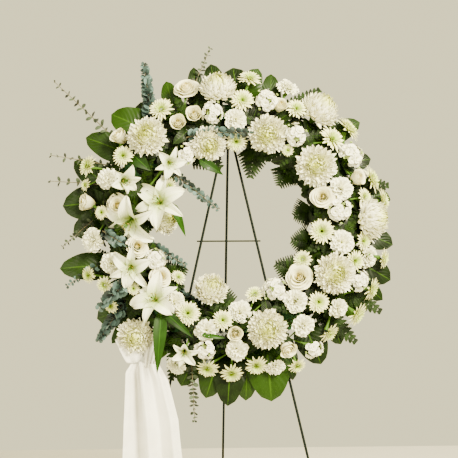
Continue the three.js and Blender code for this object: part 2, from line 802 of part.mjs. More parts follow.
// Short leaves that stand out of the bed in the gaps between the blooms, each turned a golden angle from
// the one before.
const FILL_ROWS = [-58, 58]; // degrees round the foam, from its inner side to its outer side
const FILL_STEPS = 5;
const FILL_CLEAR = 6;
const GOLDEN = 2.39996;
const bunched = Object.values(BUNCHES).flat();
const allBlooms = [...MUMS, ...LILIES.flat(), ...bunched.map(([, x, z, size]) => [x, z, size])];
function fillLeaves(sector) {
  const turn = 360 / SECTORS;
  const leaves = [];
  for (let i = 0; i < FILL_STEPS; i++) {
    FILL_ROWS.forEach((row, j) => {
      const count = (sector * FILL_STEPS + i) * FILL_ROWS.length + j;
      const degrees = (sector + (i + 0.5 + 0.25 * Math.sin(count * GOLDEN)) / FILL_STEPS) * turn;
      const tilt = THREE.MathUtils.degToRad(row + 8 * Math.cos(count * GOLDEN));
      const out = polar(1, degrees, 0);
      const along = out.clone().cross(FRONT);
      const core = polar(RING_R, degrees, TUBE_Y);
      const rise = out.clone().multiplyScalar(Math.sin(tilt)).addScaledVector(FRONT, Math.cos(tilt));
      const lean = rise.clone().addScaledVector(along, 0.7 * Math.cos(count * GOLDEN + 1));
      const root = core.clone().addScaledVector(rise, 44);
      const tip = core.clone().addScaledVector(lean, 80);
      const nearest = Math.min(...allBlooms.map(([x, z, size]) => Math.hypot(tip.x - x, tip.z - z) - size));
      if (nearest > FILL_CLEAR) leaves.push([root, tip]);
    });
  }
  return leaves;
}

const bedParts = Array.from({ length: SECTORS }, (_, k) => [solid(bedSkin(k))]);
const bedClears = Array.from({ length: SECTORS }, (_, k) => solid(bedSkin(k, 0.02)));
const leafClears = Array.from({ length: SECTORS }, () => []);
const addLeaf = (made, sector) => {
  bedParts[sector].push(made.body);
  leafClears[sector].push(made.clear);
};
for (const [degrees, reach, width, skew, y] of SALAL) {
  const root = inBed(RING_R + 46, degrees + skew, -13);
  addLeaf(leaf(root, polar(reach, degrees, y), width), sectorOf(root.x, root.z));
}
for (const [foot, degrees, reach, y] of FERNS) {
  const outward = reach > RING_R;
  const root = inBed(RING_R + (outward ? 46 : -46), foot, -15);
  addLeaf(pinnatePiece(root, polar(reach, degrees, y), FERN), sectorOf(root.x, root.z));
}
const sprayPiece = ([x, z, tipX, tipY, tipZ, width, pairs], arch) => {
  const root = V(x, 0, z).setLength(RING_R + (V(x, 0, z).length() > RING_R ? 46 : -46)).setY(-17);
  const made = pinnatePiece(root, V(tipX, tipY, tipZ), { ...EUCALYPTUS, width, pairs, arch });
  return { ...made, root };
};
for (const spray of SMALL_SPRAYS) {
  const made = sprayPiece(spray, 6);
  addLeaf(made, sectorOf(made.root.x, made.root.z));
}

for (let sector = 0; sector < SECTORS; sector++) {
  for (const [root, tip] of fillLeaves(sector)) addLeaf(leaf(root, tip, 40, 6), sector);
}

const sprayClears = [];
for (const [name, spray] of Object.entries(SPRAYS)) {
  const made = sprayPiece(spray, 12);
  const pickFoot = made.root.clone().setY(0).setLength(RING_R).setY(TUBE_Y);
  const joint = mix(made.root, V(spray[2], spray[3], spray[4]), 0.06);
  const foot = stemOf(joint, mix(made.root, pickFoot, 0.5), 2.2);
  const spraySolid = clearOf(union([made.body, foot.body]), [...taken, ...sprayClears]);
  piece(`eucalyptus_${name}`, spraySolid, eucalyptusBlue);
  sprayClears.push(made.clear, foot.clear);
  inFoam.push(foot.clear);
}
taken.push(...sprayClears, hookClear);

// The ribbon: a bow of two loops and its two tails, wired to the foam under the lowest left chrysanthemum.
const KNOT_AT = V(-214, -66, -352);
const TAIL_LENGTH = 420;
const TAIL_TOP = 7.5;
const TAIL_BACK = 0.11; // the left leg, which they pass in front of, holds them off the plumb line
const TAIL_FOLDS = 6;
const TAIL_HALF = [30, 84]; // half of their width at the knot and at their ends

// A folded sheet from rows of its middle points, both faces split alike so that they never cross.
function foldedSheet(rows, thick) {
  const count = rows[0].length;
  const points = rows.flatMap((row) => [
    ...row.map((p) => p.clone().add(V(0, -thick, 0))),
    ...row.map((p) => p.clone().add(V(0, thick, 0))),
  ]);
  const front = (j, i) => j * 2 * count + i;
  const back = (j, i) => front(j, i) + count;
  const index = [];
  const quad = (a, b, c, d) => index.push(a, b, c, a, c, d);
  for (let j = 0; j + 1 < rows.length; j++) {
    for (let i = 0; i + 1 < count; i++) {
      index.push(front(j, i), front(j + 1, i), front(j + 1, i + 1));
      index.push(front(j, i), front(j + 1, i + 1), front(j, i + 1));
      index.push(back(j, i), back(j + 1, i + 1), back(j + 1, i));
      index.push(back(j, i), back(j, i + 1), back(j + 1, i + 1));
    }
    quad(front(j, 0), back(j, 0), back(j + 1, 0), front(j + 1, 0));
    quad(front(j, count - 1), front(j + 1, count - 1), back(j + 1, count - 1), back(j, count - 1));
  }
  for (let i = 0; i + 1 < count; i++) {
    const last = rows.length - 1;
    quad(front(0, i), front(0, i + 1), back(0, i + 1), back(0, i));
    quad(front(last, i), back(last, i), back(last, i + 1), front(last, i + 1));
  }
  return facingOut(points, index);
}

function ribbonTails(extra) {
  const down = V(0, TAIL_BACK, -1).normalize();
  const top = KNOT_AT.clone().add(V(0, 0, -TAIL_TOP));
  const rows = [0, 0.12, 0.3, 0.5, 0.75, 1].map((t) => {
    const half = TAIL_HALF[0] + (TAIL_HALF[1] - TAIL_HALF[0]) * Math.pow(t, 0.7);
    const middle = top.clone().addScaledVector(down, TAIL_LENGTH * t).add(V(20 * t - 8, 0, 0));
    return Array.from({ length: TAIL_FOLDS + 1 }, (_, i) => {
      const across = (2 * i) / TAIL_FOLDS - 1;
      const fold = (i % 2 ? 7 : -7) * (0.4 + 0.6 * t);
      const notch = t === 1 && i % 2 ? 26 : 0;
      return middle.clone().add(V(across * half, fold, notch));
    });
  });
  return foldedSheet(rows, 1.2 + extra);
}

// Each loop stands up from the knot: where it starts, the way that it goes, its length and its half widths.
const LOOPS = [
  { foot: V(-240, -64, -352), out: V(-0.2, 0, 0.98), reach: 62, halves: [21, 31, 30] },
  { foot: V(-204, -64, -354), out: V(-0.12, 0, 0.99), reach: 60, halves: [19, 21, 20] },
];
const LOOP_DEEP = 14;
function ribbonLoop({ foot, out, reach, halves }, extra) {
  const across = FRONT.clone().cross(out).normalize();
  const rows = [0.1, 0.55, 0.92].map((t, j) => {
    const deep = LOOP_DEEP * Math.sin(Math.PI * (0.14 + 0.74 * t)) + extra;
    const middle = foot.clone().addScaledVector(out, reach * t);
    return Array.from({ length: 8 }, (_, i) => {
      const a = (i / 8) * 2 * Math.PI;
      const wide = Math.sin(a) * (halves[j] + extra);
      return middle.clone().addScaledVector(FRONT, Math.cos(a) * deep).addScaledVector(across, wide);
    });
  });
  const low = foot.clone().addScaledVector(out, -12);
  return closedRings(low, rows, foot.clone().addScaledVector(out, reach + 4 + extra));
}
const pin = stemOf(KNOT_AT.clone().add(V(4, 0, 2)), V(-152, TUBE_Y - 8, -236), 2.5);
piece("ribbon_tails", clearOf(solid(ribbonTails(0)), taken), satinWhite);
const bowOf = (extra) => union(LOOPS.map((loop) => solid(ribbonLoop(loop, extra))));
const tailClear = solid(ribbonTails(GAP).translate(0, 0, GAP));
piece("ribbon_bow", clearOf(union([bowOf(0), pin.body]), [...taken, tailClear]), satinWhite);
taken.push(tailClear, bowOf(GAP), pin.clear);
inFoam.push(pin.clear);

bedParts.forEach((parts, k) => {
  const later = leafClears.slice(k + 1).flat();
  const bed = parts[0].subtract(foamClear);
  const otherBeds = bedClears.filter((_, j) => j !== k);
  const leaves = clearOf(union(parts.slice(1)), [foamClear, ...later, ...otherBeds]);
  const bodies = clearOf(union([bed, leaves]), taken);
  piece(`greens_${k + 1}`, clearOf(bodies, later), leafGreen);
});
piece("foam_ring", clearOf(foam, [...inFoam, hookClear]), foamGreen);

const wreath = new THREE.Group();
wreath.add(leaning);
const bounds = new THREE.Box3().setFromObject(wreath, true);
leaning.position.x -= (bounds.min.x + bounds.max.x) / 2;
leaning.position.y -= (bounds.min.y + bounds.max.y) / 2;
export default wreath;
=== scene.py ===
import math

import bpy
import numpy as np
from mathutils import Matrix, Vector


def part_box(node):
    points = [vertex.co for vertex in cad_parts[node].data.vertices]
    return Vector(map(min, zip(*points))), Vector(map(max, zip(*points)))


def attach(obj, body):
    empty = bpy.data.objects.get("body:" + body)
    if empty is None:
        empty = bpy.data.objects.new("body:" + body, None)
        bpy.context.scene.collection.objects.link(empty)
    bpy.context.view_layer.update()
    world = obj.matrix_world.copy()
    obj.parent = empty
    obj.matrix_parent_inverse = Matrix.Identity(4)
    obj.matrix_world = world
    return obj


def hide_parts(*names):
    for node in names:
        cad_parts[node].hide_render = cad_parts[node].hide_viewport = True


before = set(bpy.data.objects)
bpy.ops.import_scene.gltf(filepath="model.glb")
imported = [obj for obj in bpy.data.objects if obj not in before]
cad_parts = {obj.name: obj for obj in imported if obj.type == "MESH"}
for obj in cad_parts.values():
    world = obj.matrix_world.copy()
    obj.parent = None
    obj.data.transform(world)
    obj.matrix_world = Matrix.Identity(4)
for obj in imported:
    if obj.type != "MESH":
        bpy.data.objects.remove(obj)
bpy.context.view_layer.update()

# Camera
# The wreath is seen square on from a little to the left and a little above its middle, from four metres.
# The frame is square, 458 by 458, and each pixel covers 2.6 mm at the face of the blooms.
lean = math.radians(12)
tray_low, tray_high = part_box("foam_tray")
tray_middle = (Vector(tray_low) + Vector(tray_high)) / 2
leaning = Matrix.Rotation(-lean, 4, "X")
tray_from_axis = 0.00565
wreath_at = tray_middle + leaning @ Vector((0, tray_from_axis, 0))
to_world = Matrix.Translation(wreath_at) @ leaning
pixel = 0.0026
half_frame = 229
view_distance = 4.0
view_turn, view_rise = math.radians(-2.5), math.radians(6)
level = Vector((math.sin(view_turn), -math.cos(view_turn), 0))
back = level * math.cos(view_rise) + Vector((0, 0, math.sin(view_rise)))
aim = wreath_at + Vector((-1 * pixel, -0.08, 0.4 * pixel))
camera = bpy.data.objects.new("camera", bpy.data.cameras.new("camera"))
camera.data.angle = 2 * math.atan(half_frame * pixel / view_distance)
camera.location = aim + view_distance * back
camera.rotation_euler = back.to_track_quat("Z", "Y").to_euler()
bpy.context.scene.collection.objects.link(camera)
bpy.context.scene.camera = camera

# Easel
# Two front legs, a bar, a hook, a hinge pin and a rear leg, all of steel wire, cut, bent and welded.
# The wire is dipped in dark green enamel, which dries to a thin film with faint runs.


def colour(hex_code):
    """An sRGB hex code as a linear colour."""
    parts = [int(hex_code[i : i + 2], 16) / 255 for i in (0, 2, 4)]
    return [c / 12.92 if c <= 0.04045 else ((c + 0.055) / 1.055) ** 2.4 for c in parts] + [1]


def add(tree, kind, inputs=(), stops=(), **settings):
    """A node with its settings, its values or links by socket, and a ramp's stops."""
    made = tree.nodes.new("ShaderNode" + kind)
    for name, value in settings.items():
        setattr(made, name, value)
    for socket, value in dict(inputs).items():
        if isinstance(value, bpy.types.NodeSocket):
            tree.links.new(value, made.inputs[socket])
        else:
            made.inputs[socket].default_value = value
    for i, (at, hex_code) in enumerate(stops):
        ramp = made.color_ramp.elements
        element = ramp[i] if i < len(ramp) else ramp.new(at)
        element.position, element.color = at, colour(hex_code)
    return made


def new_material(name, **shader):
    """A material with its Principled shader, whose plain values are set on its own sockets."""
    made = bpy.data.materials.new(name)
    made.use_nodes = True
    principled = made.node_tree.nodes["Principled BSDF"]
    for socket, value in shader.items():
        principled.inputs[socket.replace("_", " ")].default_value = value
    return made, made.node_tree, principled


def clouds(tree, size, detail=4):
    """A cloudy pattern in the piece's own space, of this size in metres."""
    where = add(tree, "TexCoord").outputs["Object"]
    return add(tree, "TexNoise", {"Vector": where, "Scale": 1 / size, "Detail": detail}).outputs["Fac"]


def dress(tree, shader, tone, gloss, height=None, strength=0.0, distance=0.0):
    """A finish's colour, roughness and, where it has one, relief, linked to its shader."""
    tree.links.new(tone, shader.inputs["Base Color"])
    tree.links.new(gloss, shader.inputs["Roughness"])
    if height is not None:
        bump = add(tree, "Bump", {"Height": height, "Strength": strength, "Distance": distance})
        tree.links.new(bump.outputs["Normal"], shader.inputs["Normal"])


def mottled(name, size, tones, rough, relief=(), detail=3, **shader):
    """A finish whose colour, roughness and, where it has one, relief all follow one cloudy pattern."""
    made, tree, principled = new_material(name, **shader)
    cloud = clouds(tree, size, detail)
    tone = add(tree, "ValToRGB", {"Fac": cloud}, stops=tones).outputs["Color"]
    gloss = add(tree, "MapRange", {"Value": cloud, "To Min": rough[0], "To Max": rough[1]}).outputs["Result"]
    dress(tree, principled, tone, gloss, cloud if relief else None, *relief)
    return made


# Enamel that was dipped and hung to dry: almost black green, its low soft gloss broken by runs 12 mm apart.
enamel = mottled("dipped_enamel_on_steel_wire", 0.012, [(0.3, "050D08"), (0.75, "08130C")], (0.55, 0.75),
                 (0.15, 0.0002), 1.5, IOR=1.45, Specular_IOR_Level=0.15)
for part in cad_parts:
    if part.startswith("easel_"):
        for slot in bpy.data.objects[part].material_slots:
            slot.material = enamel

# Foam ring and its tray
# A ring of wet floral foam, moulded fine and green, lies glued in a shallow dark tray of moulded polystyrene.
# The foam is crumbly and matt, and the tray has a plain half-gloss skin.
ring_radius = 278


def grid_faces(count, rows, columns, closed=False):
    """The quads of as many grids of points as there are, one after another."""
    index = np.arange(rows * columns).reshape(rows, columns)
    if closed:
        index = np.concatenate([index, index[:, :1]], axis=1)
    quads = np.stack([index[:-1, :-1], index[:-1, 1:], index[1:, 1:], index[1:, :-1]], axis=-1).reshape(-1, 4)
    return (quads[None] + (np.arange(count) * rows * columns)[:, None, None]).reshape(-1, 4)


def in_world(points):
    """Points of the leaning wreath in millimetres, as points of the world in metres."""
    turn = np.array(to_world.to_3x3())
    return points * 0.001 @ turn.T + np.array(to_world.translation)


def make_piece(name, node_names, blocks, materials):
    """A piece from blocks of grids: points in the wreath, growth values, material number, whether closed."""
    points, faces, marks, uses, start = [], [], [], [], 0
    for where_to, growth, use, closed in blocks:
        count, rows, columns, _ = where_to.shape
        quads = grid_faces(count, rows, columns, closed) + start
        points.append(where_to.reshape(-1, 3))
        marks.append(growth.reshape(-1, 3))
        faces.append(quads)
        uses.append(np.full(len(quads), use))
        start += count * rows * columns
    points, faces, marks, uses = map(np.concatenate, (points, faces, marks, uses))
    points = in_world(points)
    mesh = bpy.data.meshes.new(name)
    mesh.vertices.add(len(points))
    mesh.vertices.foreach_set("co", points.astype(np.float32).ravel())
    mesh.loops.add(faces.size)
    mesh.loops.foreach_set("vertex_index", faces.astype(np.int32).ravel())
    mesh.polygons.add(len(faces))
    mesh.polygons.foreach_set("loop_start", np.arange(0, faces.size, 4, dtype=np.int32))
    mesh.polygons.foreach_set("material_index", uses.astype(np.int32))
    mesh.update(calc_edges=True)
    mesh.validate()
    mesh.shade_smooth()
    growth_marks = mesh.attributes.new("growth", "FLOAT_VECTOR", "POINT")
    growth_marks.data.foreach_set("vector", marks.astype(np.float32).ravel())
    for finish in materials:
        mesh.materials.append(finish)
    piece = bpy.data.objects.new(name, mesh)
    bpy.context.scene.collection.objects.link(piece)
    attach(piece, "front_frame_and_wreath")
    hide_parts(*node_names)
    return piece


def lathe(profile, sides, ribs=0):
    """A closed ring round the wreath's axis, from its section, with ribs across its pockets."""
    section = np.array(profile + profile[:1], float)
    angle = np.linspace(0, 2 * np.pi, sides, endpoint=False)
    radius, depth = section[:, 0, None] + ring_radius, section[:, 1, None]
    ring = np.stack([radius * np.cos(angle), depth + 0 * angle, radius * np.sin(angle)], axis=-1)
    if ribs:
        on_rib = np.arange(sides) % (sides // ribs) < 2
        ring[np.ix_(np.isclose(section[:, 1], pocket_floor), on_rib, [1])] = tray_back
    return ring[None]


# Foam of cells cut open: a dull crumb with no shine, with painted shade darkening its pits.
# The real cells are 0.3 mm, and are drawn 2.5 mm wide so that they show.
foam, tree, shader = new_material("wet_floral_foam", IOR=1.4)
where = add(tree, "TexCoord").outputs["Object"]
cell_size = 0.0025
cells = add(tree, "TexVoronoi", {"Vector": where, "Scale": 1 / cell_size}).outputs["Distance"]
# The crumb's ramp is darkest at the cells' middles, the low pits of the bump: painted shade in the pits.
crumb_and_pit_shade = add(tree, "ValToRGB", {"Fac": cells}, stops=[(0.0, "1E3B22"), (0.6, "3C6A40")]).outputs["Color"]
dry = add(tree, "MapRange", {"Value": cells, "To Min": 1.0, "To Max": 0.85}).outputs["Result"]
dress(tree, shader, crumb_and_pit_shade, dry, cells, 0.6, 0.0008)

# Moulded polystyrene: a smooth dark green skin, whose gloss wavers where the melt flowed.
tray_plastic = mottled("moulded_polystyrene_tray", 0.03, [(0.3, "16301C"), (0.7, "22452A")], (0.4, 0.6),
                       detail=4, IOR=1.58)

foam_section = [(-40, -8.3), (-40, -48), (-38, -54), (-31, -58), (31, -58), (38, -54), (40, -48), (40, -8.3)]
ring = lathe(foam_section, 120)
make_piece("foam_ring_moulded", ["foam_ring"],
           [(ring, np.zeros(ring.shape), 0, True)], [foam])
tray_back, pocket_floor = -3.0, -5.4
tray_section = [(-40, -3.8), (-40, -7.5), (-30, -7.5), (30, -7.5), (40, -7.5), (40, -3.8), (36, tray_back),
                (29, tray_back), (28, pocket_floor), (5, pocket_floor), (4, tray_back), (-4, tray_back),
                (-5, pocket_floor), (-28, pocket_floor), (-29, tray_back), (-36, tray_back)]
ring = lathe(tray_section, 360, 24)
make_piece("foam_tray_moulded", ["foam_tray"],
           [(ring, np.zeros(ring.shape), 0, True)], [tray_plastic])

# Greens
# Salal leaves, fern fronds and short leaves are pushed by their stems into the foam all round the ring.
# Salal is thick, waxed and paler below, and the fern is thin and dark with toothed leaflets.
random = np.random.default_rng(7)
front = np.array([0.0, -1.0, 0.0])
outer_foot, inner_foot = 324, 232
bed_depth = 32
unit = lambda v: v / np.linalg.norm(v, axis=-1, keepdims=True)


def polar(radius, degrees, depth):
    angle = math.radians(degrees)
    return np.array([radius * math.cos(angle), depth, radius * math.sin(angle)])


def blades(root, tip, face, width, shape, rows=9, columns=5, bend=0.12, fold=0.15, wave=0.0,
           tone=(0.0, 1.0)):
    """Leaves from root to tip, facing one way, each a grid that is bent along and folded across."""
    root, tip, face = (np.atleast_2d(np.asarray(v, float)) for v in (root, tip, face))
    count = len(root)
    axis = tip - root
    length = np.linalg.norm(axis, axis=1)
    side = unit(np.cross(axis, face))
    normal = unit(np.cross(side, axis))
    width = np.broadcast_to(np.asarray(width, float), (count,))
    t = np.linspace(0, 1, rows)[None, :, None]
    u = np.linspace(-1, 1, columns)[None, None, :]
    half = width[:, None, None] / 2 * shape(t)
    arch = bend * length[:, None, None] * (np.sin(np.pi * t) - 0.55 * t**2)
    ripple = np.sin(t * 17 + 3 * np.sign(u) + root[:, :1, None] * 0.1) * np.abs(u) ** 3
    ripple = wave * width[:, None, None] * ripple
    lift = arch + fold * half * np.abs(u) - 0.1 * half * u**2 + ripple * shape(t)
    place = (
        root[:, None, None]
        + axis[:, None, None] * (t + 0 * u)[..., None]
        + side[:, None, None] * (half * u)[..., None]
        + normal[:, None, None] * lift[..., None]
    )
    vary = random.uniform(*tone, count)[:, None, None]
    return place, np.stack(np.broadcast_arrays(t, u, vary), axis=-1)


def salal_shape(t):
    return np.sin(np.pi * np.clip(t, 0, 1) ** 0.74) ** 0.5 + 0.03 * (1 - t)


def lance_shape(t):
    return np.sin(np.pi * t**0.6) ** 0.9 + 0.04 * (1 - t)


def tube(path, radius, sides=6):
    """A round stem along a path of points, with one radius for each point."""
    path = np.asarray(path, float)
    along = unit(np.gradient(path, axis=0))
    side = unit(np.cross(along, np.array([0.31, -0.82, 0.48])))
    other = np.cross(along, side)
    angle = np.linspace(0, 2 * np.pi, sides, endpoint=False)
    radius = np.broadcast_to(np.asarray(radius, float), (len(path),))
    ring = side[:, None] * np.cos(angle)[None, :, None] + other[:, None] * np.sin(angle)[None, :, None]
    place = (path[:, None] + ring * radius[:, None, None])[None]
    growth = np.zeros(place.shape)
    growth[..., 0] = np.linspace(0, 1, len(path))[None, :, None]
    return place, growth


def fern(root, tip, width, pairs=9, rows=13):
    """A frond: leaflets in pairs down a thin rib, each with a toothed edge."""
    root, tip = np.asarray(root, float), np.asarray(tip, float)
    axis = tip - root
    side = unit(np.cross(axis, front))
    face = unit(np.cross(side, axis))
    t = np.repeat(np.linspace(0.1, 0.97, pairs), 2)
    sign = np.tile([1.0, -1.0], pairs)
    arch = lambda s: 0.1 * np.linalg.norm(axis) * (np.sin(np.pi * s) - 0.5 * s**2)
    foot = root + axis * t[:, None] + face * arch(t)[:, None]
    reach = width / 2 * (1.12 - t) ** 0.75 * 1.15
    ahead = unit(axis) * (reach * 0.75)[:, None]
    droop = face * (reach * (random.random(len(t)) * 0.3 - 0.2))[:, None]
    end = foot + side * (sign * reach)[:, None] + ahead + droop
    tooth = lambda s: (1 - s) ** 0.62 * (0.66 + 0.34 * ((s * 12) % 2 > 0.9)) + 0.05
    apart = 0.87 * np.linalg.norm(axis) / (pairs - 1)
    wide = apart * 1.7 * (reach / reach.max()) ** 0.3 + 1
    leaflets = blades(foot, end, np.broadcast_to(face, foot.shape), wide, tooth, rows, 3, 0.06, 0.1)
    s = np.linspace(0, 1, 8)
    rib = tube(root + axis * s[:, None] + face * arch(s)[:, None], 1.1 - 0.8 * s, 5)
    return [leaflets, rib]


def growth_parts(tree):
    """The growth values of a leaf or petal: how far along it, how far across, and which one it is."""
    growth = add(tree, "Attribute", attribute_name="growth").outputs["Vector"]
    return add(tree, "SeparateXYZ", {"Vector": growth}).outputs


def leaf_material(name, dark, light, rib, roughness, veins, coat):
    """A leaf with a pale rib, slanting side veins and cloudy patches of lighter growth."""
    made, tree, shader = new_material(name, IOR=1.4, Coat_Weight=coat, Specular_IOR_Level=0.2)
    split = growth_parts(tree)
    across = add(tree, "Math", {0: split["Y"]}, operation="ABSOLUTE").outputs[0]
    patches = clouds(tree, 0.03)
    both = add(tree, "Math", {0: patches, 1: split["Z"]}, operation="ADD").outputs[0]
    tone = add(tree, "MapRange", {"Value": both, "From Min": 0.45, "From Max": 1.5}).outputs["Result"]
    body = add(tree, "ValToRGB", {"Fac": tone}, stops=[(0.0, dark), (1.0, light)]).outputs["Color"]
    near_rib = add(tree, "MapRange", {"Value": across, "From Min": 0.015, "From Max": 0.07, "To Min": 0.7,
                                      "To Max": 0.0}).outputs["Result"]
    ribbed = add(tree, "Mix", {0: near_rib, 6: body, 7: colour(rib)}, data_type="RGBA").outputs[2]
    gloss = add(tree, "MapRange", {"Value": patches, "From Min": 0.3, "From Max": 0.7,
                                   "To Min": roughness - 0.08, "To Max": roughness + 0.1}).outputs["Result"]
    slant = add(tree, "Math", {0: across, 1: -0.35, 2: split["X"]}, operation="MULTIPLY_ADD").outputs[0]
    waves = add(tree, "Math", {0: slant, 1: veins * 2 * math.pi}, operation="MULTIPLY").outputs[0]
    ridges = add(tree, "Math", {0: waves}, operation="SINE").outputs[0]
    dress(tree, shader, ribbed, gloss, ridges, 0.35, 0.0006)
    return made


# Waxed leaf: a deep green face with a low soft gloss, a pale rib and raised side veins, and a pale underside.
salal_top = leaf_material("waxed_salal_leaf_face", "061000", "1C3400", "345206", 0.42, 9, 0.06)
salal_under = leaf_material("salal_leaf_underside", "22400A", "42661A", "64843A", 0.6, 9, 0.0)
# Fern, stem and lily leaf: a thin matt dark frond, a fresh pale stem, and a smooth leaf with one rib.
fern_green = leaf_material("leatherleaf_fern", "071000", "182C00", "223C06", 0.55, 3, 0.0)
stem_green = leaf_material("cut_flower_stem", "2C4A08", "4E7018", "4A6A24", 0.5, 1, 0.0)
lance_green = leaf_material("lily_leaf", "0A1C00", "1E4000", "305C0C", 0.42, 1, 0.08)

# each leaf: angle and reach of its tip, width, how far its foot is turned away, and depth of its tip
SALAL = [
    (173, 440, 62, -4, -26), (167, 405, 44, 6, -16), (157, 443, 46, 5, -20), (148, 444, 48, -4, -24),
    (136, 430, 58, -6, -20), (125, 405, 46, 4, -14), (113, 421, 34, 2, -16), (102, 434, 30, 3, -22),
    (96, 434, 42, -2, -28), (88, 424, 62, -3, -20), (79, 428, 44, 5, -26), (74, 424, 36, -4, -16),
    (38, 448, 42, 6, -20), (25, 420, 40, 4, -16), (9, 437, 44, 7, -16), (-7, 437, 46, 5, -24),
    (-19, 451, 54, 4, -20), (-26, 452, 36, 4, -14), (-36, 424, 36, 4, -18), (-47, 430, 40, 5, -16),
    (-57, 437, 54, 4, -24), (-68, 440, 30, 4, -16), (-77, 474, 74, 4, -26), (-85, 462, 44, 3, -14),
    (-91, 473, 54, 2, -26), (-98, 457, 52, 3, -18), (-107, 440, 46, 3, -14), (-122, 420, 40, 3, -16),
    (-135, 436, 26, -3, -26), (-145, 424, 50, 5, -20), (-166, 458, 48, 5, -24), (-178, 410, 48, -4, -14),
]
# each frond: angle of its foot, angle and reach of its tip, and depth of its tip
FERNS = [
    (62, 56, 436, -26), (18, 14, 436, -22), (-30, -30, 458, -22), (-44, -43, 452, -16),
    (-112, -111, 430, -22),
    (116, 98, 156, -26), (72, 66, 142, -26), (44, 38, 172, -30), (10, 8, 176, -24), (-12, -14, 172, -30),
    (-34, -40, 162, -26), (-94, -100, 158, -22), (-142, -136, 162, -26), (168, 162, 160, -22),
]
sectors = 6
sector_of = lambda p: int((math.degrees(math.atan2(p[2], p[0])) % 360) // (360 / sectors))
greens = [[] for _ in range(sectors)]
for degrees, reach, width, skew, depth in SALAL:
    root, tip = polar(outer_foot, degrees + skew, -13), polar(reach, degrees, depth)
    turned = unit(front + 0.25 * (random.random(3) - 0.5))
    place, growth = blades(root, tip, turned, width * 1.55, salal_shape, 13, 9, 0.1, 0.12, 0.04)
    greens[sector_of(root)].append((place, growth, 0, False))
for foot, degrees, reach, depth in FERNS:
    outside = reach > ring_radius
    root = polar(outer_foot if outside else inner_foot, foot, -15)
    leaflets, rib = fern(root, polar(reach, degrees, depth), 62 if outside else 74)
    greens[sector_of(root)] += [(*leaflets, 2, False), (*rib, 2, True)]

fill_count = 760
turn = random.random(fill_count) * 2 * np.pi
tilt = np.radians(random.uniform(-100, 100, fill_count))
out = np.stack([np.cos(turn), 0 * turn, np.sin(turn)], axis=1)
tangent = np.stack([-np.sin(turn), 0 * turn, np.cos(turn)], axis=1)
rise = out * np.sin(tilt)[:, None] + front * np.cos(tilt)[:, None]
across = out * np.cos(tilt)[:, None] - front * np.sin(tilt)[:, None]
swing = random.random(fill_count) * 2 * np.pi
lie = tangent * np.cos(swing)[:, None] + across * np.sin(swing)[:, None]
core = out * ring_radius + front * bed_depth
stand = random.uniform(0.1, 0.6, fill_count)[:, None]
length = random.uniform(44, 68, fill_count)[:, None]
foot = core + rise * random.uniform(36, 52, fill_count)[:, None] - lie * 20
end = foot + unit(lie + rise * stand) * length
end[:, 1] = np.minimum(end[:, 1], -6)
foot[:, 1] = np.minimum(foot[:, 1], -9)
for k in range(sectors):
    mine = np.array([sector_of(p) == k for p in foot])
    leafy = mine & (np.arange(fill_count) % 5 > 1)
    # These fill leaves take tones from -0.3 to 0.35, not 0 to 1, so they are painted darker: painted shade
    # among the blooms.
    place, growth = blades(foot[leafy], end[leafy], rise[leafy], 30, salal_shape, 8, 5, 0.1, 0.15, 0.03,
                           (-0.3, 0.35))
    greens[k].append((place, growth, 0, False))
    for i in np.flatnonzero(mine & ~leafy):
        leaflets, rib = fern(foot[i], end[i] + (end[i] - foot[i]) * 0.3, 30, 7, 6)
        greens[k] += [(*leaflets, 2, False), (*rib, 2, True)]


def thicken(piece, under=0):
    """Real thickness for leaves and cloth, whose far side takes the finish that many slots on."""
    made = piece.modifiers.new("thickness", "SOLIDIFY")
    made.thickness, made.offset, made.material_offset, made.use_rim = 0.0004, 0, under, False


for k, blocks in enumerate(greens):
    piece = make_piece(f"greens_sector_{k + 1}", [f"greens_{k + 1}"], blocks,
                       [salal_top, salal_under, fern_green, fern_green])
    thicken(piece, 1)

# Eucalyptus
# Sprays of round and of narrow blue-grey leaves in pairs on thin woody stems, stuck into the foam.
# The leaves carry a pale wax bloom that rubs off unevenly.


def disc_shape(t):
    return np.sqrt(np.clip(1 - (2 * t - 1) ** 2, 0, 1)) + 0.02


def eucalyptus(path_points, leaf, pairs, narrow=1.0, use=0, start=0.06):
    """Leaves in crossed pairs all along a curved stem, smaller towards its tip."""
    path_points = np.asarray(path_points, float)
    root, bend, tip = path_points
    along = lambda s: (1 - s)[:, None] ** 2 * root + 2 * (s * (1 - s))[:, None] * bend + (s**2)[:, None] * tip
    t = np.repeat(np.linspace(start, 0.99, pairs), 2)
    foot = along(t)
    axis = unit(along(np.clip(t + 0.02, 0, 1.02)) - along(t - 0.02))
    side = unit(np.cross(axis, front))
    face = unit(np.cross(side, axis))
    turn = np.repeat(np.arange(pairs) * 1.35, 2) + np.tile([0, np.pi], pairs)
    turn = turn + random.normal(0, 0.2, 2 * pairs)
    out = side * np.cos(turn)[:, None] + face * np.sin(turn)[:, None]
    size = leaf * (1.05 - 0.55 * t**2) * random.uniform(0.85, 1.1, len(t))
    aim_out = unit(out + axis * 0.45)
    end = foot + aim_out * size[:, None]
    turned = unit(axis * 0.5 - aim_out * 0.1 + random.normal(0, 0.3, foot.shape) + front * 0.9)
    leaves = blades(foot + aim_out * 1.2, end, turned, size * 0.98 * narrow, disc_shape, 7, 5, 0.1, 0.1)
    s = np.linspace(0, 1, 14)
    return [(*leaves, use, False), (*tube(along(s), 1.5 - s, 6), 2, True)]


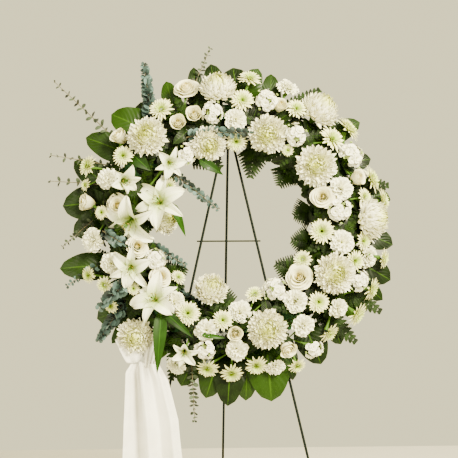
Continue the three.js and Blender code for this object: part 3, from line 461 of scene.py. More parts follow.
def gum_material(name, shade, middle, chalky):
    """A leaf under a pale wax bloom, which is cloudy and thicker on some leaves than on others."""
    made, tree, shader = new_material(name, IOR=1.42, Sheen_Weight=0.1)
    split = growth_parts(tree)
    bloom = clouds(tree, 0.012)
    both = add(tree, "Math", {0: bloom, 1: split["Z"]}, operation="ADD").outputs[0]
    tone = add(tree, "MapRange", {"Value": both, "From Min": 0.5, "From Max": 1.5}).outputs["Result"]
    chalk = add(tree, "ValToRGB", {"Fac": tone}, stops=[(0.0, shade), (0.5, middle), (1.0, chalky)])
    dull = add(tree, "MapRange", {"Value": bloom, "From Min": 0.3, "From Max": 0.7, "To Min": 0.52,
                                  "To Max": 0.75}).outputs["Result"]
    dress(tree, shader, chalk.outputs["Color"], dull, bloom, 0.3, 0.0004)
    return made


# Wax bloom: chalky blue-grey in clouds over a dull green, and greener on the narrow leaves.
gum_leaf = gum_material("waxy_silver_eucalyptus_leaf", "101C1A", "2A403E", "587270")
gum_dark = gum_material("narrow_eucalyptus_leaf", "10180C", "242F1A", "46543C")
# Thin bark: a dry brown-grey twig, scarred where leaves fell.
gum_stem = mottled("woody_eucalyptus_stem", 0.008, [(0.3, "3E3C28"), (0.7, "6E6448")], (0.6, 0.8),
                   (0.4, 0.0003), IOR=1.45)

# each spray: node, foot x and z, tip x, depth and z, leaf length, pairs, narrowness
SPRAYS = [
    ("left_long", -318, 236, -460, -28, 384, 21, 16, 0.5),
    ("tall", -206, 262, -222, -30, 430, 23, 40, 1.0),
    ("top", -130, 322, -46, -28, 474, 17, 17, 0.55),
    ("left_low", -318, -86, -425, -22, -157, 17, 17, 0.8),
    ("bottom_left", -262, -182, -340, -40, -300, 24, 34, 1.0),
    ("opening", -150, 138, -30, -50, 40, 18, 26, 0.95),
    ("hanging", -108, -320, -94, -22, -512, 20, 19, 0.65),
]


def spray_path(x, z, tip_x, depth, tip_z):
    out = np.array([x, 0.0, z]) / math.hypot(x, z)
    outside = math.hypot(x, z) > ring_radius
    root = out * (outer_foot if outside else inner_foot) + front * 17
    tip = np.array([tip_x, depth, tip_z], float)
    return root, (root + tip) / 2 + front * 18, tip


# small sprays in the same order, and sprays that lie on blooms: three points of the stem, leaf length, pairs
SMALL_SPRAYS = [
    (-345, 188, -468, -34, 186, 20, 10, 0.5), (-350, 122, -470, -30, 118, 22, 7, 0.5),
    (-345, 50, -436, -40, -56, 15, 17, 0.7), (-176, -28, -116, -36, -106, 18, 20, 0.9),
    (-150, -150, -84, -40, -206, 20, 22, 1.0),
]
LYING = [
    ([(-112, -96, 222), (-30, -128, 240), (82, -112, 226)], 22, 24),
    ([(-330, -84, -20), (-290, -112, -50), (-236, -104, -76)], 21, 20),
    ([(-258, -96, -150), (-300, -104, -180), (-338, -84, -220)], 24, 22),
]
for name, *spray in SPRAYS:
    blocks = []
    small = SMALL_SPRAYS if name == "left_low" else []
    for x, z, tip_x, depth, tip_z, leaf, pairs, narrow in [spray] + small:
        path = spray_path(x, z, tip_x, depth, tip_z)
        blocks += eucalyptus(path, leaf, pairs, narrow, 4 if narrow < 0.8 else 0)
    for path, leaf, pairs in LYING if name == "opening" else []:
        blocks += eucalyptus(path, leaf, pairs)
    piece = make_piece(f"eucalyptus_spray_{name}", [f"eucalyptus_{name}"], blocks,
                       [gum_leaf, gum_leaf, gum_stem, gum_stem, gum_dark, gum_dark])
    thicken(piece, 1)

# Chrysanthemums
# Twelve large heads, each of some three hundred narrow petals that curve in over a pale yellow-green heart.
# The petals are soft, matt and creamy white, each folded like a gutter, so the head reads as a shaggy ball.
golden = math.pi * (3 - math.sqrt(5))
steepest = 74
dome_radius, dome_height = 105, 82
hub_radius, hub_height = 62, 51
in_foam, past_hub = 14, 6


def seat(x, z, lift=0.0):
    """Where a bloom seen at x, z on the wreath's face sits, and the way that it looks."""
    out = np.array([x, 0.0, z]) / math.hypot(x, z)
    across = math.hypot(x, z) - ring_radius
    limit = math.sin(math.radians(steepest))
    tilt = math.asin(max(-limit, min(limit, across / dome_radius)))
    core = out * ring_radius + front * bed_depth
    reach = max(1.0, abs(across) / (dome_radius * limit))
    arm = out * math.sin(tilt) * dome_radius * reach + front * math.cos(tilt) * dome_height
    axis = unit(arm)
    hub = core + out * math.sin(tilt) * hub_radius + front * math.cos(tilt) * hub_height
    return core, axis, hub, core + arm + axis * lift


def turned_to(points, size, at, axis, spin):
    """Points of a bloom drawn at the origin, upright and of radius 1, set in its place on the wreath."""
    up = Vector(axis).to_track_quat("Z", "Y").to_matrix() @ Matrix.Rotation(spin, 3, "Z")
    return points * size @ np.array(up).T + at


def petals(turn, foot_out, foot_up, length, half, low, high, shape, rows=6, columns=5,
           cup=0.5, tip_round=0.25, frill=0.0, waves=3.0, notch=0.0, inner=None):
    """Petals round an upright bloom: each starts near the axis and its slope turns from low to high."""
    count = len(turn)
    per_petal = lambda v: np.broadcast_to(np.asarray(v, float), (count,))[:, None, None]
    foot_out, foot_up, length, half = map(per_petal, (foot_out, foot_up, length, half))
    low, high = np.radians(per_petal(low)), np.radians(per_petal(high)) + 1e-4
    v = np.linspace(0, 1, rows)[None, :, None]
    u = np.linspace(-1, 1, columns)[None, None, :]
    phase = random.random((count, 1, 1)) * 6.28
    teeth = notch * np.abs(np.sin(u * waves * 4 + phase)) * v
    t = v * (1 - tip_round * np.abs(u) ** 2.5) - teeth
    slope = low + (high - low) * t
    out = foot_out + length * (np.sin(slope) - np.sin(low)) / (high - low)
    up = foot_up + length * (np.cos(low) - np.cos(slope)) / (high - low)
    wide = half * shape(t)
    lift = cup * wide * u**2 + frill * length * t**2.5 * np.sin(u * waves + phase) * (0.5 + 0.5 * np.abs(u))
    out, up = out - np.sin(slope) * lift, up + np.cos(slope) * lift
    side = wide * u * (1 - 0.2 * cup)
    cos, sin = np.cos(per_petal(turn)), np.sin(per_petal(turn))
    place = np.stack([out * cos - side * sin, out * sin + side * cos, up], axis=-1)
    inner = per_petal(0.0 if inner is None else inner)
    return place, np.stack(np.broadcast_arrays(v, u, inner), axis=-1)


def petal_material(name, base, tip, heart, roughness, veins=5, depth=0.00025, reach=0.5, rib=0.0):
    """A petal: its colour runs from foot to tip and turns to the heart's colour towards the middle."""
    made, tree, shader = new_material(name, IOR=1.4)
    split = growth_parts(tree)
    body = add(tree, "ValToRGB", {"Fac": split["X"]}, stops=[(0.0, base), (reach, tip)])
    inner = add(tree, "MapRange", {"Value": split["Z"], "From Min": 0.45, "From Max": 1.0}).outputs["Result"]
    mixed = add(tree, "Mix", {0: inner, 6: body.outputs["Color"], 7: colour(heart)}, data_type="RGBA")
    across = add(tree, "Math", {0: split["Y"]}, operation="ABSOLUTE").outputs[0]
    middle = add(tree, "MapRange", {"Value": across, "From Min": 0.0, "From Max": 0.22, "To Min": rib,
                                    "To Max": 0.0}).outputs["Result"]
    fading = add(tree, "MapRange", {"Value": split["X"], "From Min": 0.1, "From Max": 0.9, "To Min": 1.0,
                                    "To Max": 0.0}).outputs["Result"]
    share = add(tree, "Math", {0: middle, 1: fading}, operation="MULTIPLY")
    mixed = add(tree, "Mix", {0: share.outputs[0], 6: mixed.outputs[2], 7: colour(base)}, data_type="RGBA")
    cloud = clouds(tree, 0.02, 3)
    shade = add(tree, "MapRange", {"Value": cloud, "From Min": 0.3, "From Max": 0.7, "To Min": 0.92,
                                   "To Max": 1.0}).outputs["Result"]
    final = add(tree, "Mix", {0: 1.0, 6: mixed.outputs[2], 7: shade}, data_type="RGBA",
                blend_type="MULTIPLY").outputs[2]
    gloss = add(tree, "MapRange", {"Value": cloud, "From Min": 0.3, "From Max": 0.7,
                                   "To Min": roughness + 0.08, "To Max": roughness - 0.08}).outputs["Result"]
    lines = add(tree, "Math", {0: split["Y"], 1: veins * math.pi}, operation="MULTIPLY").outputs[0]
    ribs = add(tree, "Math", {0: lines}, operation="COSINE").outputs[0]
    dress(tree, shader, final, gloss, ribs, 0.4, depth)
    return made


# Chrysanthemum petal: matt and creamy, greener towards its foot, partly its own colour and partly painted
# shade, so the gaps of a head read yellow-green.
mum_petal = petal_material("chrysanthemum_petal", "E8E8A8", "FCFAE2", "CED456", 0.62, 3)
tongue = lambda t: 0.6 + 0.4 * np.sin(np.pi * np.clip(t, 0, 1) ** 0.8)


def calyx(foot, at, axis, size, width):
    """The green cup under a head, which narrows into its stem down to the foam."""
    s = np.array([0, 0.3, 0.62, 0.86, 1.0])
    neck = at - axis * size * 0.35
    path = foot + (neck - foot) * s[:, None]
    return (*tube(path, np.array([1.6, 1.8, 2.4, size * width * 0.6, size * width]), 7), 1, True)


def dome(radius, height, up, far, rows, columns):
    """A plain dome from its top down, which closes the gaps behind petals."""
    pole, round_it = np.linspace(0.02, far, rows)[:, None], np.linspace(0, 2 * np.pi, columns)[None]
    return np.stack([radius * np.sin(pole) * np.cos(round_it), radius * np.sin(pole) * np.sin(round_it),
                     height * np.cos(pole) + up + 0 * round_it], axis=-1)[None]


def chrysanthemum(closed):
    """Petals by the golden angle over a dome, level outside and upright at the heart, and the dome itself."""
    count = 300
    s = (np.arange(count) + 0.5) / count
    from_pole = 108 * np.sqrt(1 - s)
    low = 88 - from_pole + 8 * random.normal(0, 1, count)
    high = low + 52 + 38 * closed + 16 * random.normal(0, 1, count)
    sin, cos = np.sin(np.radians(from_pole)), np.cos(np.radians(from_pole))
    length = (0.58 - 0.14 * s) * (1 + 0.1 * random.normal(0, 1, count))
    turn = np.arange(count) * golden + random.normal(0, 0.08, count)
    tall = 0.36 + 0.16 * closed
    place, growth = petals(turn, 0.5 * sin, tall * cos - 0.06, length, 0.115 * (1 - 0.3 * s), low, high,
                           tongue, 7, 4, 0.6, 0.3, inner=s**2)
    under = dome(0.56, tall + 0.06, -0.06, 1.8, 7, 15)
    return [(place, growth), (under, np.full(under.shape, 0.35))]


# each head: x, z and radius, how far it is closed, and how far it is turned to the viewer
MUMS = [
    (-213, 221, 52, 0.2, 0.3), (-29, 346, 53, 1, 0.1), (-57, 207, 47, 0, 0.35), (99, 229, 52, 0.4, 0.2),
    (237, 295, 58, 1, 0.35), (224, 144, 53, 0.1, 0.25), (362, 8, 58, 1, 0.05), (265, -136, 54, 0.2, 0.2),
    (-52, -178, 47, 0.9, 0.6), (91, -277, 53, 0.5, 0.2), (-242, -290, 50, 0.5, 0.8), (-176, 16, 46, 1, 0.5),
]
for i, (x, z, size, closed, facing) in enumerate(MUMS):
    core, axis, _, head = seat(x, z, 5)
    head = head + front * 24 * facing**2
    face = unit(axis * (1 - facing) + front * facing)
    blocks = [(turned_to(place, size, head, face, i), growth, 0, False)
              for place, growth in chrysanthemum(closed)]
    blocks.append(calyx(core + axis * in_foam, head, face, size, 0.3))
    make_piece(f"chrysanthemum_{i + 1:02d}", [f"mum_{i + 1:02d}"],
               blocks, [mum_petal, stem_green])

# Lilies
# Seven open heads on four stems: six waxy tepals flare from a deep throat and curl back at their tips.
# They are pure white with a green-yellow stripe towards the throat, round six stamens and one long pistil.
# Lily tepal: a waxy white with a soft gloss and fine lengthwise veins, lime in its throat and along its rib.
lily_petal = petal_material("lily_tepal", "9EB82C", "F4F5DC", "F4F5DC", 0.45, 9, 0.0005, 0.6, 0.8)
# Pollen: a dry ochre powder with no shine.
anther_brown = mottled("lily_anther_pollen", 0.0015, [(0.3, "5A4A14"), (0.7, "8A7A28")], (0.85, 1.0),
                       (0.5, 0.0003), 2, IOR=1.4)
tepal = lambda t: np.sin(np.pi * (0.12 + 0.88 * np.clip(t, 0, 1)) ** 0.85) ** 0.75 + 0.02


def lily(open_share):
    """Three broad and three narrow tepals, six stamens with their anthers, and the pistil."""
    turn = np.arange(6) * np.pi / 3 + random.normal(0, 0.09, 6)
    broad = np.tile([1.0, 0.0], 3)
    low = 84 - 14 * open_share
    high = 62 - 112 * open_share + random.normal(0, 13, 6)
    length = (1.26 + 0.1 * open_share) * (1 + 0.05 * random.normal(0, 1, 6))
    place, growth = petals(turn, 0.05, -0.62 + 0.01 * broad, length, 0.25 + 0.13 * broad, low, high, tepal,
                           18, 11, 0.45, 0.04, 0.07, 5, inner=0 * broad)
    groove = np.exp(-((growth[..., 1] / 0.2) ** 2)) * np.sin(np.pi * growth[..., 0])
    place = place - np.stack([0 * groove, 0 * groove, 0.045 * groove], axis=-1)
    blocks = [(place, growth, 0, False)]
    for k in range(6):
        a = k * math.pi / 3 + 0.5
        flat = np.array([math.cos(a), math.sin(a), 0])
        s = np.linspace(0, 1, 7)[:, None]
        path = flat * (0.04 + 0.14 * s**1.6) + np.array([0, 0, 1]) * (-0.55 + 0.62 * s)
        blocks.append((*tube(path, 0.014, 5), 1, True))
        cross = np.array([-math.sin(a), math.cos(a), 0.25])
        bar = path[-1] + cross * np.linspace(-0.06, 0.06, 6)[:, None]
        blocks.append((*tube(bar, np.array([0.006, 0.018, 0.022, 0.022, 0.018, 0.006]), 6), 2, True))
    s = np.linspace(0, 1, 8)[:, None]
    pistil = np.array([0.05, 0.02, 0]) * s + np.array([0, 0, 1]) * (-0.6 + 0.78 * s)
    blocks.append((*tube(pistil, np.array([0.05, 0.03, 0.02, 0.018, 0.018, 0.022, 0.05, 0.036]), 7), 1, True))
    return blocks


# each head: x, z and radius, how far it stands out, how far it is open, and the way that it looks
LILIES = [
    [(-208, 62, 62, 30, 1, (-0.2, -0.9, 0.1)), (-266, 100, 52, 30, 0.3, (0.35, -0.8, -0.2)),
     (-164, 158, 40, 24, 0.7, (0.2, -0.85, -0.3))],
    [(-268, -12, 64, 18, 1, (-0.35, -0.7, -0.62))],
    [(-256, -124, 50, 30, 0.95, (-0.1, -0.9, -0.3)), (-200, -196, 56, 34, 1, (-0.2, -0.9, 0.15))],
    [(-117, -326, 38, 20, 0.5, (-0.1, -0.8, -0.5))],
]
# leaves of each lily stem: foot and tip as x, z and depth, and width
LILY_LEAVES = [
    [[(-79, 164, -100), (-16, 125, -88), 26], [(-262, 186, -92), (-206, 134, -112), 44]],
    [[(-148, 50, -96), (-115, -36, -80), 20]],
    [[(-179, -224, -120), (-99, -299, -128), 25], [(-179, -226, -118), (-191, -390, -118), 34]],
    [[(-78, -291, -118), (-16, -300, -116), 13]],
]
for n, heads in enumerate(LILIES):
    blocks = []
    core, axis, hub, _ = seat(*heads[0][:2])
    blocks.append((*tube(np.stack([core + axis * in_foam, hub + axis * past_hub]), 3.4, 7), 1, True))
    for k, (x, z, size, lift, open_share, look) in enumerate(heads):
        *_, head = seat(x, z, lift)
        face = unit(np.array(look))
        for place, growth, use, around in lily(open_share):
            blocks.append((turned_to(place, size, head, face, k + n + 0.4), growth, use, around))
        neck = head - face * 0.62 * size
        s = np.linspace(0, 1, 6)[:, None]
        path = hub * (1 - s) + neck * s
        blocks.append((*tube(path, np.array([2.4, 2.4, 2.6, 3, 4, 5]), 7), 1, True))
    for (x0, z0, y0), (x1, z1, y1), width in LILY_LEAVES[n]:
        place, growth = blades((x0, y0, z0), (x1, y1, z1), front, width, lance_shape, 12, 5, 0.08, 0.25)
        blocks.append((place, growth, 3, False))
    make_piece(f"lily_stem_{n + 1}", [f"lily_{n + 1}"], blocks,
               [lily_petal, stem_green, anther_brown, lance_green])

# Small blooms
# Carnations, spray roses, daisy chrysanthemums and stock are wired together in picks that stand in the foam.
# Each kind has its own cut of petal: frilled, broad and wrapped, narrow and flat, or small and crumpled.
# Petals: crisp and dry on a carnation, smooth cream with a yellow heart on a rose, lime at the foot on a
# daisy, and soft and crumpled with green buds on stock.
# Carnation foot: its darker yellow-green is partly its own colour, partly painted shade in the deep folds.
carnation_petal = petal_material("carnation_petal", "C6CA78", "F9F8E0", "F0EFC4", 0.7, 4)
rose_petal = petal_material("spray_rose_petal", "EEE49C", "F8F4D0", "F3E48C", 0.5, 3)
daisy_petal = petal_material("daisy_chrysanthemum_petal", "B4C834", "F5F4BE", "A2BC22", 0.6, 2, reach=0.75)
# Stock foot: its darker yellow-green is partly its own colour, partly painted shade in the deep folds.
stock_petal = petal_material("stock_floret_petal", "B4C468", "FAF8E4", "A6BE58", 0.66, 4)
# Tight florets: a velvety lime knob, darker in its middle.
lime_button, tree, shader = new_material("daisy_button_floret", IOR=1.4)
split = growth_parts(tree)
lime = add(tree, "ValToRGB", {"Fac": split["Z"]}, stops=[(0.0, "C7D646"), (0.75, "93B027"), (1.0, "6E8C18")])
soft = add(tree, "MapRange", {"Value": split["X"], "To Min": 0.85, "To Max": 0.65})
dress(tree, shader, lime.outputs["Color"], soft.outputs["Result"], split["X"], 0.4, 0.0004)

fan = lambda t: 0.2 + 0.8 * np.clip(t, 0, 1) ** 0.9
spoon = lambda t: 0.35 + 0.65 * np.sin(np.pi * np.clip(t, 0, 1) ** 1.25 * 0.85)
rounded = lambda t: 0.25 + 0.75 * np.sin(np.pi * np.clip(t, 0, 1) * 0.62)


def carnation():
    count = 42
    s = (np.arange(count) + 0.5) / count
    from_pole = 88 * np.sqrt(1 - s)
    length = (1.02 - 0.1 * s) * random.uniform(0.82, 1.06, count)
    high = 90 - from_pole * 1.15 + random.normal(0, 10, count)
    place, growth = petals(np.arange(count) * golden, 0.03, -0.46, length, 0.34 - 0.06 * s,
                           90 - from_pole * 0.7, high, fan, 9, 13,
                           0.06, 0.1, 0.17, 5.5, 0.06, inner=0.5 * s)
    return [(place, growth, 0, False)]


def rose(open_share):
    """Broad petals wrapped round one another into a cup, those outside turned back at the rim."""
    # each layer: radius, height and number of petals
    layers = [(0.07, 0.5, 2), (0.16, 0.52, 3), (0.27, 0.5, 3), (0.4, 0.46, 4), (0.54, 0.4, 4),
              (0.68, 0.28, 5), (0.8, 0.06, 5)][: 5 + round(2 * open_share)]
    v, u = np.linspace(0, 1, 11)[:, None], np.linspace(-1, 1, 11)[None]
    places, growths = [], []
    for k, (radius, height, count) in enumerate(layers):
        share = k / (len(layers) - 1)
        for j in range(count):
            t = v * (1 - 0.12 * np.abs(u) ** 2.6) * random.uniform(0.93, 1.05)
            half = (1.35 - 0.35 * share) * (0.5 + 0.5 * np.clip(t, 0, 1) ** 0.5)
            angle = k * 1.1 + j * 2 * np.pi / count + u * half + random.normal(0, 0.1)
            curl = (0.4 + 0.6 * open_share) * share**1.5 * np.clip(t - 0.76, 0, None) ** 1.4 * 2.2
            belly = 0.35 + 0.65 * np.sin(np.clip(t, 0, 1) * np.pi / 2) ** 0.8
            out = radius * (1.25 - 0.25 * open_share) * belly
            out = out * (1 + 0.08 * u) * (1 - (0.9, 0.5, 0.25, 0.1, 0, 0, 0)[k] * np.clip(t, 0, 1) ** 6)
            out = out + curl + 0.03 * np.sin(u * 5 + j) * t**3 * share
            up = -0.8 + (height + 0.8) * t - 0.5 * curl
            places.append(np.stack([out * np.cos(angle), out * np.sin(angle), up + 0 * angle], axis=-1))
            growths.append(np.stack(np.broadcast_arrays(t, u, 1 - share), axis=-1))
    heart = dome(0.11, 0.5, -0.2, 1.7, 6, 11)
    return [(np.array(places), np.array(growths), 0, False), (heart, np.full(heart.shape, 1.0), 0, False)]


def button(radius, up, count=40):
    """The knob of tight florets in a daisy's middle."""
    s = (np.arange(count) + 0.5) / count
    return (*petals(np.arange(count) * golden, radius * np.sqrt(s), up + 0.06 * (1 - s), 0.09, 0.035,
                    88 - 50 * s, 88 - 40 * s, rounded, 3, 3, 0.8, 0.4, inner=1 - s), 2, False)


def daisy():
    count = 66
    s = (np.arange(count) + 0.5) / count
    jitter = random.normal(0, 1, count)
    place, growth = petals(np.arange(count) * golden, 0.16 - 0.06 * s, -0.06 + 0.14 * s, 0.9 - 0.46 * s**1.4,
                           0.105 - 0.02 * s, 2 + 46 * s + 4 * jitter, -8 + 62 * s + 6 * jitter, spoon, 6, 4,
                           0.45, 0.35, inner=0.3 + 0.62 * s**1.6)
    return [(place, growth, 0, False), button(0.19, 0.12)]


def stock():
    """A cluster of crumpled double florets over a dome, with green buds among them."""
    blocks = []
    count = 21
    for k in range(count):
        s = (k + 0.5) / count
        lean_out = math.radians(96 * s**0.62)
        turn = k * golden
        axis = np.array([math.sin(lean_out) * math.cos(turn), math.sin(lean_out) * math.sin(turn),
                         math.cos(lean_out)])
        bud = k % 6 == 2
        at = axis * np.array([0.74, 0.74, 0.55]) * (1.25 if bud else random.uniform(0.82, 1.15))
        size = 0.17 if bud else random.uniform(0.28, 0.4)
        for layer, number in ((0, 5), (1, 4)):
            place, growth = petals(np.arange(number) * 2 * np.pi / number + random.random() * 6, 0.05, -0.1,
                                   0.95 - 0.35 * layer, 0.55 - 0.14 * layer, 42 + 25 * layer,
                                   (80 if bud else 4) + 30 * layer, rounded, 5, 6, 0.15, 0.25, 0.16, 3,
                                   inner=0.95 if bud else 0.0)
            blocks.append((turned_to(place, size, at, axis, 0), growth, 0, False))
    core = dome(0.5, 0.3, 0, 1.9, 6, 13)
    return blocks + [(core, np.full(core.shape, 0.9), 0, False)]


# each kind: how it is made, the material of its petals, and the width of its calyx
KINDS = {
    "carnation": (carnation, 0, 0.42), "rose": (lambda: rose(1), 1, 0.3), "bud": (lambda: rose(0), 1, 0.3),
    "daisy": (daisy, 2, 0.2), "stock": (stock, 3, 0.3),
}
# each pick: kind of bloom, x and z on the wreath's face, radius
BUNCHES = {
    "top": [
        ("carnation", 16, 268, 30), ("daisy", 34, 318, 30), ("daisy", 57, 385, 30), ("daisy", 18, 212, 27),
        ("stock", -44, 284, 30),
    ],
    "top_right": [
        ("stock", 98, 318, 32), ("carnation", 159, 367, 31), ("bud", 133, 306, 24), ("daisy", 176, 298, 27),
    ],
    "right_upper_inner": [
        ("stock", 172, 224, 31), ("daisy", 151, 186, 15), ("daisy", 268, 217, 31),
    ],
    "right_upper": [
        ("daisy", 315, 250, 34), ("stock", 318, 176, 36), ("bud", 334, 116, 26), ("daisy", 374, 116, 33),
    ],
    "right": [
        ("carnation", 290, 88, 32), ("rose", 240, 64, 27), ("stock", 283, 28, 33), ("daisy", 351, 66, 22),
        ("daisy", 403, 61, 28),
    ],
    "right_lower": [
        ("daisy", 237, -26, 32), ("carnation", 289, -55, 33), ("daisy", 346, -50, 22),
        ("daisy", 322, -102, 25), ("carnation", 369, -88, 30), ("daisy", 402, -92, 24),
    ],
    "bottom_right_inner": [
        ("daisy", 187, -98, 24), ("rose", 177, -144, 31), ("carnation", 166, -205, 32),
        ("daisy", 225, -209, 27),
    ],
    "bottom_right_outer": [
        ("stock", 335, -152, 29), ("daisy", 369, -172, 28), ("daisy", 330, -238, 31),
        ("carnation", 283, -225, 28), ("daisy", 256, -286, 26),
    ],
    "bottom_right": [
        ("carnation", 187, -271, 30), ("stock", 216, -327, 27), ("bud", 146, -327, 27),
        ("daisy", 172, -370, 23), ("carnation", 118, -378, 28),
    ],
    "bottom_inner": [
        ("stock", 114, -174, 32), ("daisy", 62, -187, 24), ("carnation", 23, -229, 31),
        ("daisy", -22, -254, 26), ("bud", 10, -289, 23),
    ],
    "bottom": [
        ("carnation", 13, -333, 31), ("daisy", 2, -388, 29), ("daisy", 66, -369, 28),
        ("daisy", -60, -375, 28),
    ],
    "bottom_left": [
        ("carnation", -64, -280, 30), ("stock", -68, -330, 27), ("carnation", -142, -372, 28),
    ],
    "left_lower_inner": [
        ("daisy", -112, -236, 31), ("carnation", -146, -203, 29), ("daisy", -135, -141, 19),
    ],
    "left_inner": [
        ("rose", -240, -62, 27), ("stock", -195, -96, 28), ("rose", -180, -140, 25),
    ],
    "left_lower": [
        ("carnation", -308, -106, 30), ("daisy", -367, -132, 22), ("daisy", -325, -160, 23),
        ("daisy", -309, -212, 20), ("daisy", -250, -172, 16),
    ],
    "left": [
        ("rose", -291, 43, 27), ("daisy", -332, 26, 18), ("bud", -374, 58, 27), ("carnation", -361, -42, 33),
    ],
    "left_upper": [
        ("carnation", -320, 116, 30), ("daisy", -369, 154, 28), ("daisy", -375, 104, 16),
        ("daisy", -276, 173, 27), ("bud", -286, 229, 27),
    ],
    "left_upper_inner": [
        ("stock", -114, 176, 30), ("daisy", -160, 98, 22),
    ],
    "top_left": [
        ("daisy", -177, 297, 31), ("bud", -134, 259, 25), ("bud", -92, 281, 25), ("rose", -112, 360, 29),
    ],
}
# how far each kind is turned from the way that the ring faces to the viewer
to_viewer = {"carnation": 0.35, "rose": 0.5, "bud": 0.2, "daisy": 0.4, "stock": 0.25}
right_side = 250
for name, blooms in BUNCHES.items():
    heads = [seat(x, z) for _, x, z, _ in blooms]
    middle = sum(head for *_, head in heads) / len(heads)
    core, axis, hub, _ = seat(middle[0], middle[2])
    blocks = [(*tube(np.stack([core + axis * in_foam, hub + axis * past_hub]), 3.6, 7), 5, True)]
    for i, ((kind, _, _, size), (_, face, _, head)) in enumerate(zip(blooms, heads)):
        make, use, neck = KINDS[kind]
        at_right = kind == "daisy" and head[0] > right_side
        share = 0.15 if at_right else to_viewer[kind]
        size = size * (1.18 if at_right else 1.08)
        face = unit(face * (1 - share) + front * share)
        for place, growth, part, around in make():
            finish = 4 if part == 2 else use
            blocks.append((turned_to(place, size, head, face, i * 1.3), growth, finish, around))
        place, growth, _, around = calyx(hub, head, face, size, neck)
        blocks.append((place, growth, 5, around))
    make_piece(f"small_blooms_{name}", [f"bunch_{name}"], blocks,
               [carnation_petal, rose_petal, daisy_petal, stock_petal, lime_button, stem_green])

# Ribbon
# A wide ribbon of white satin is tied in a soft bow under the lowest left head and wired to the foam.
# It is woven from fine bright yarn, so it has a broad sheen along its folds, and its two tails hang free.
# Satin weave: long bright floats of yarn, so a cool white with a broad soft sheen along each fold.
satin, tree, shader = new_material("white_satin_ribbon", IOR=1.46, Sheen_Weight=0.2)
where = add(tree, "TexCoord").outputs["Object"]
yarn = 0.0008  # the real thread is 0.1 mm, drawn coarser so that it shows
weave = add(tree, "TexWave", {"Vector": where, "Scale": 1 / yarn / 20, "Distortion": 1.5},
            bands_direction="X").outputs["Fac"]
cloud = clouds(tree, 0.04, 3)
white = add(tree, "ValToRGB", {"Fac": cloud}, stops=[(0.3, "E8E6DF"), (0.7, "F6F4EF")]).outputs["Color"]
shine = add(tree, "MapRange", {"Value": weave, "To Min": 0.26, "To Max": 0.36}).outputs["Result"]
dress(tree, shader, white, shine, weave, 0.15, 0.0002)
knot_at = np.array([-226.0, -68.0, -363.0])


def ribbon_tail(left_edge, right_edge, folds, phase, end, depth):
    """A tail between two edges given as x and z, pleated where it is pinched and smoother lower down."""
    v, u = np.linspace(0, 1, 70)[:, None], np.linspace(-1, 1, 45)[None]
    z = knot_at[2] + (end - knot_at[2]) * v
    edges = [np.interp(-z, -np.array(edge)[:, 1], np.array(edge)[:, 0]) for edge in (left_edge, right_edge)]
    x = edges[0] + (edges[1] - edges[0]) * (u + 1) / 2 + 3 * np.sin(v * 6 + phase) * v
    wave = np.sin(folds * np.pi * (u + 0.12 * np.sin(v * 4 + phase)) + phase)
    crisp = np.arcsin(0.94 * wave) / 1.22
    gather = 3 * np.exp(-6 * v) * np.sin(14 * u + phase)
    deep = (5 + 12 * np.sqrt(v)) * crisp + gather + 3 * np.sin(3 * v + 2 * u)
    forked = (1 - np.abs(u)) * 34 * np.clip((v - 0.88) / 0.12, 0, 1)
    y = knot_at[1] + deep + depth + 0.11 * (knot_at[2] - z)
    return np.stack([x, y, z + forked], axis=-1)[None]


for name, left_edge, right_edge, folds, phase, end, depth in (
    ("left", [(-258, -363), (-272, -384), (-277, -507), (-282, -776)],
     [(-228, -363), (-216, -430), (-212, -507), (-205, -776)], 0.8, 0.9, -776, 4),
    ("right", [(-236, -363), (-232, -430), (-226, -507), (-214, -776)],
     [(-186, -363), (-162, -408), (-136, -507), (-112, -776)], 1.5, 2.6, -768, -8),
):
    place = ribbon_tail(left_edge, right_edge, folds, phase, end, depth)
    piece = make_piece(f"ribbon_tail_{name}", ["ribbon_tails"],
                       [(place, np.zeros(place.shape), 0, False)], [satin])
    thicken(piece)


def ribbon_loop(foot, out, across, reach, pinch, half, puff, creases):
    """One loop of the bow: a band that goes up from the pinch and comes back down behind itself."""
    v, u = np.linspace(0, 1, 56)[:, None], np.linspace(-1, 1, 33)[None]
    a = v * 2 * np.pi
    far = (1 - np.cos(a)) / 2
    spread = pinch + (half - pinch) * far**0.8
    crease = 0.55 * creases * np.sin(u * creases + 2.5 * v) * (1 - 0.5 * far)
    deep = puff * np.sin(a) * (1 - 0.3 * u**2) + crease
    along = reach * far * (1 - 0.1 * u**2) - 5 * np.cos(np.pi * u / 2) * (1 - far)
    place = foot + along[..., None] * out + (spread * u)[..., None] * across + deep[..., None] * front
    return place[None]


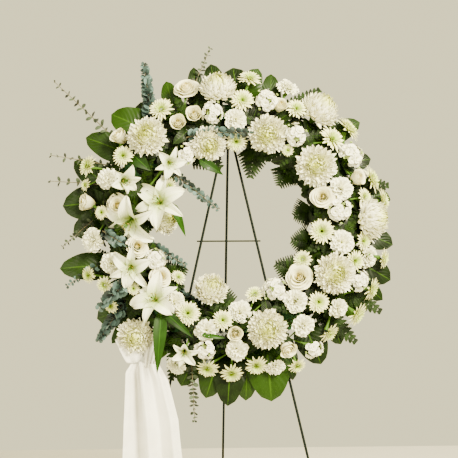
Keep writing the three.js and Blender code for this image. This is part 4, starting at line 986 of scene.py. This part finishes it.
for name, foot, out, across, reach, pinch, half, creases in (
    ("left", (-250, -66, -356), (-0.2, 0.05, 0.97), (0.98, 0, 0.2), 72, 19, 37, 5),
    ("right", (-211, -70, -366), (0.18, 0, 0.98), (-0.9, 0, -0.3), 68, 16, 23, 12),
):
    place = ribbon_loop(np.array(foot), unit(np.array(out)), unit(np.array(across)), reach, pinch,
                        half, 14, creases)
    piece = make_piece(f"ribbon_loop_{name}", ["ribbon_bow"],
                       [(place, np.zeros(place.shape), 0, False)], [satin])
    thicken(piece)
s = np.linspace(0, 2 * np.pi, 15)
wrap = knot_at + np.stack([9 * np.cos(s), -9 * np.sin(s) + 4, 2 * np.sin(3 * s)], axis=1)
place, growth = tube(wrap, 5.0, 9)
make_piece("ribbon_knot", ["ribbon_bow"],
           [(place, growth, 0, True)], [satin])

# Floor and light
# A plain pale floor, one large soft light high on the right, and an even pale surround.
floor_mesh = bpy.data.meshes.new("floor")
side = 1.65
floor_mesh.from_pydata([(-side, -side, 0), (side, -side, 0), (side, side, 0), (-side, side, 0)], [],
                       [(0, 1, 2, 3)])
floor = bpy.data.objects.new("floor", floor_mesh)
bpy.context.scene.collection.objects.link(floor)
# Matt paint: pale and even, with the faintest mottle.
floor_paint = mottled("pale_matt_floor", 1 / 3, [(0.3, "E4DED0"), (0.7, "E9E4D8")], (0.85, 0.95))
floor_mesh.materials.append(floor_paint)

world = bpy.data.worlds.new("surround")
bpy.context.scene.world = world
world.use_nodes = True
surround = world.node_tree.nodes["Background"].inputs
surround["Color"].default_value = colour("F2E9B8")
surround["Strength"].default_value = 1.5
for name, at, size, power in (
    ("key_light", (1.5, -2.6, 2.9), 1.1, 640),
    ("fill_light", (-2.4, -2.8, 1.4), 2.0, 90),
):
    lamp = bpy.data.lights.new(name, "AREA")
    lamp.size, lamp.energy, lamp.color = size, power, colour("FCF3CE")[:3]
    lamp_object = bpy.data.objects.new(name, lamp)
    lamp_object.location = at
    lamp_object.rotation_euler = (aim - Vector(at)).to_track_quat("-Z", "Y").to_euler()
    bpy.context.scene.collection.objects.link(lamp_object)
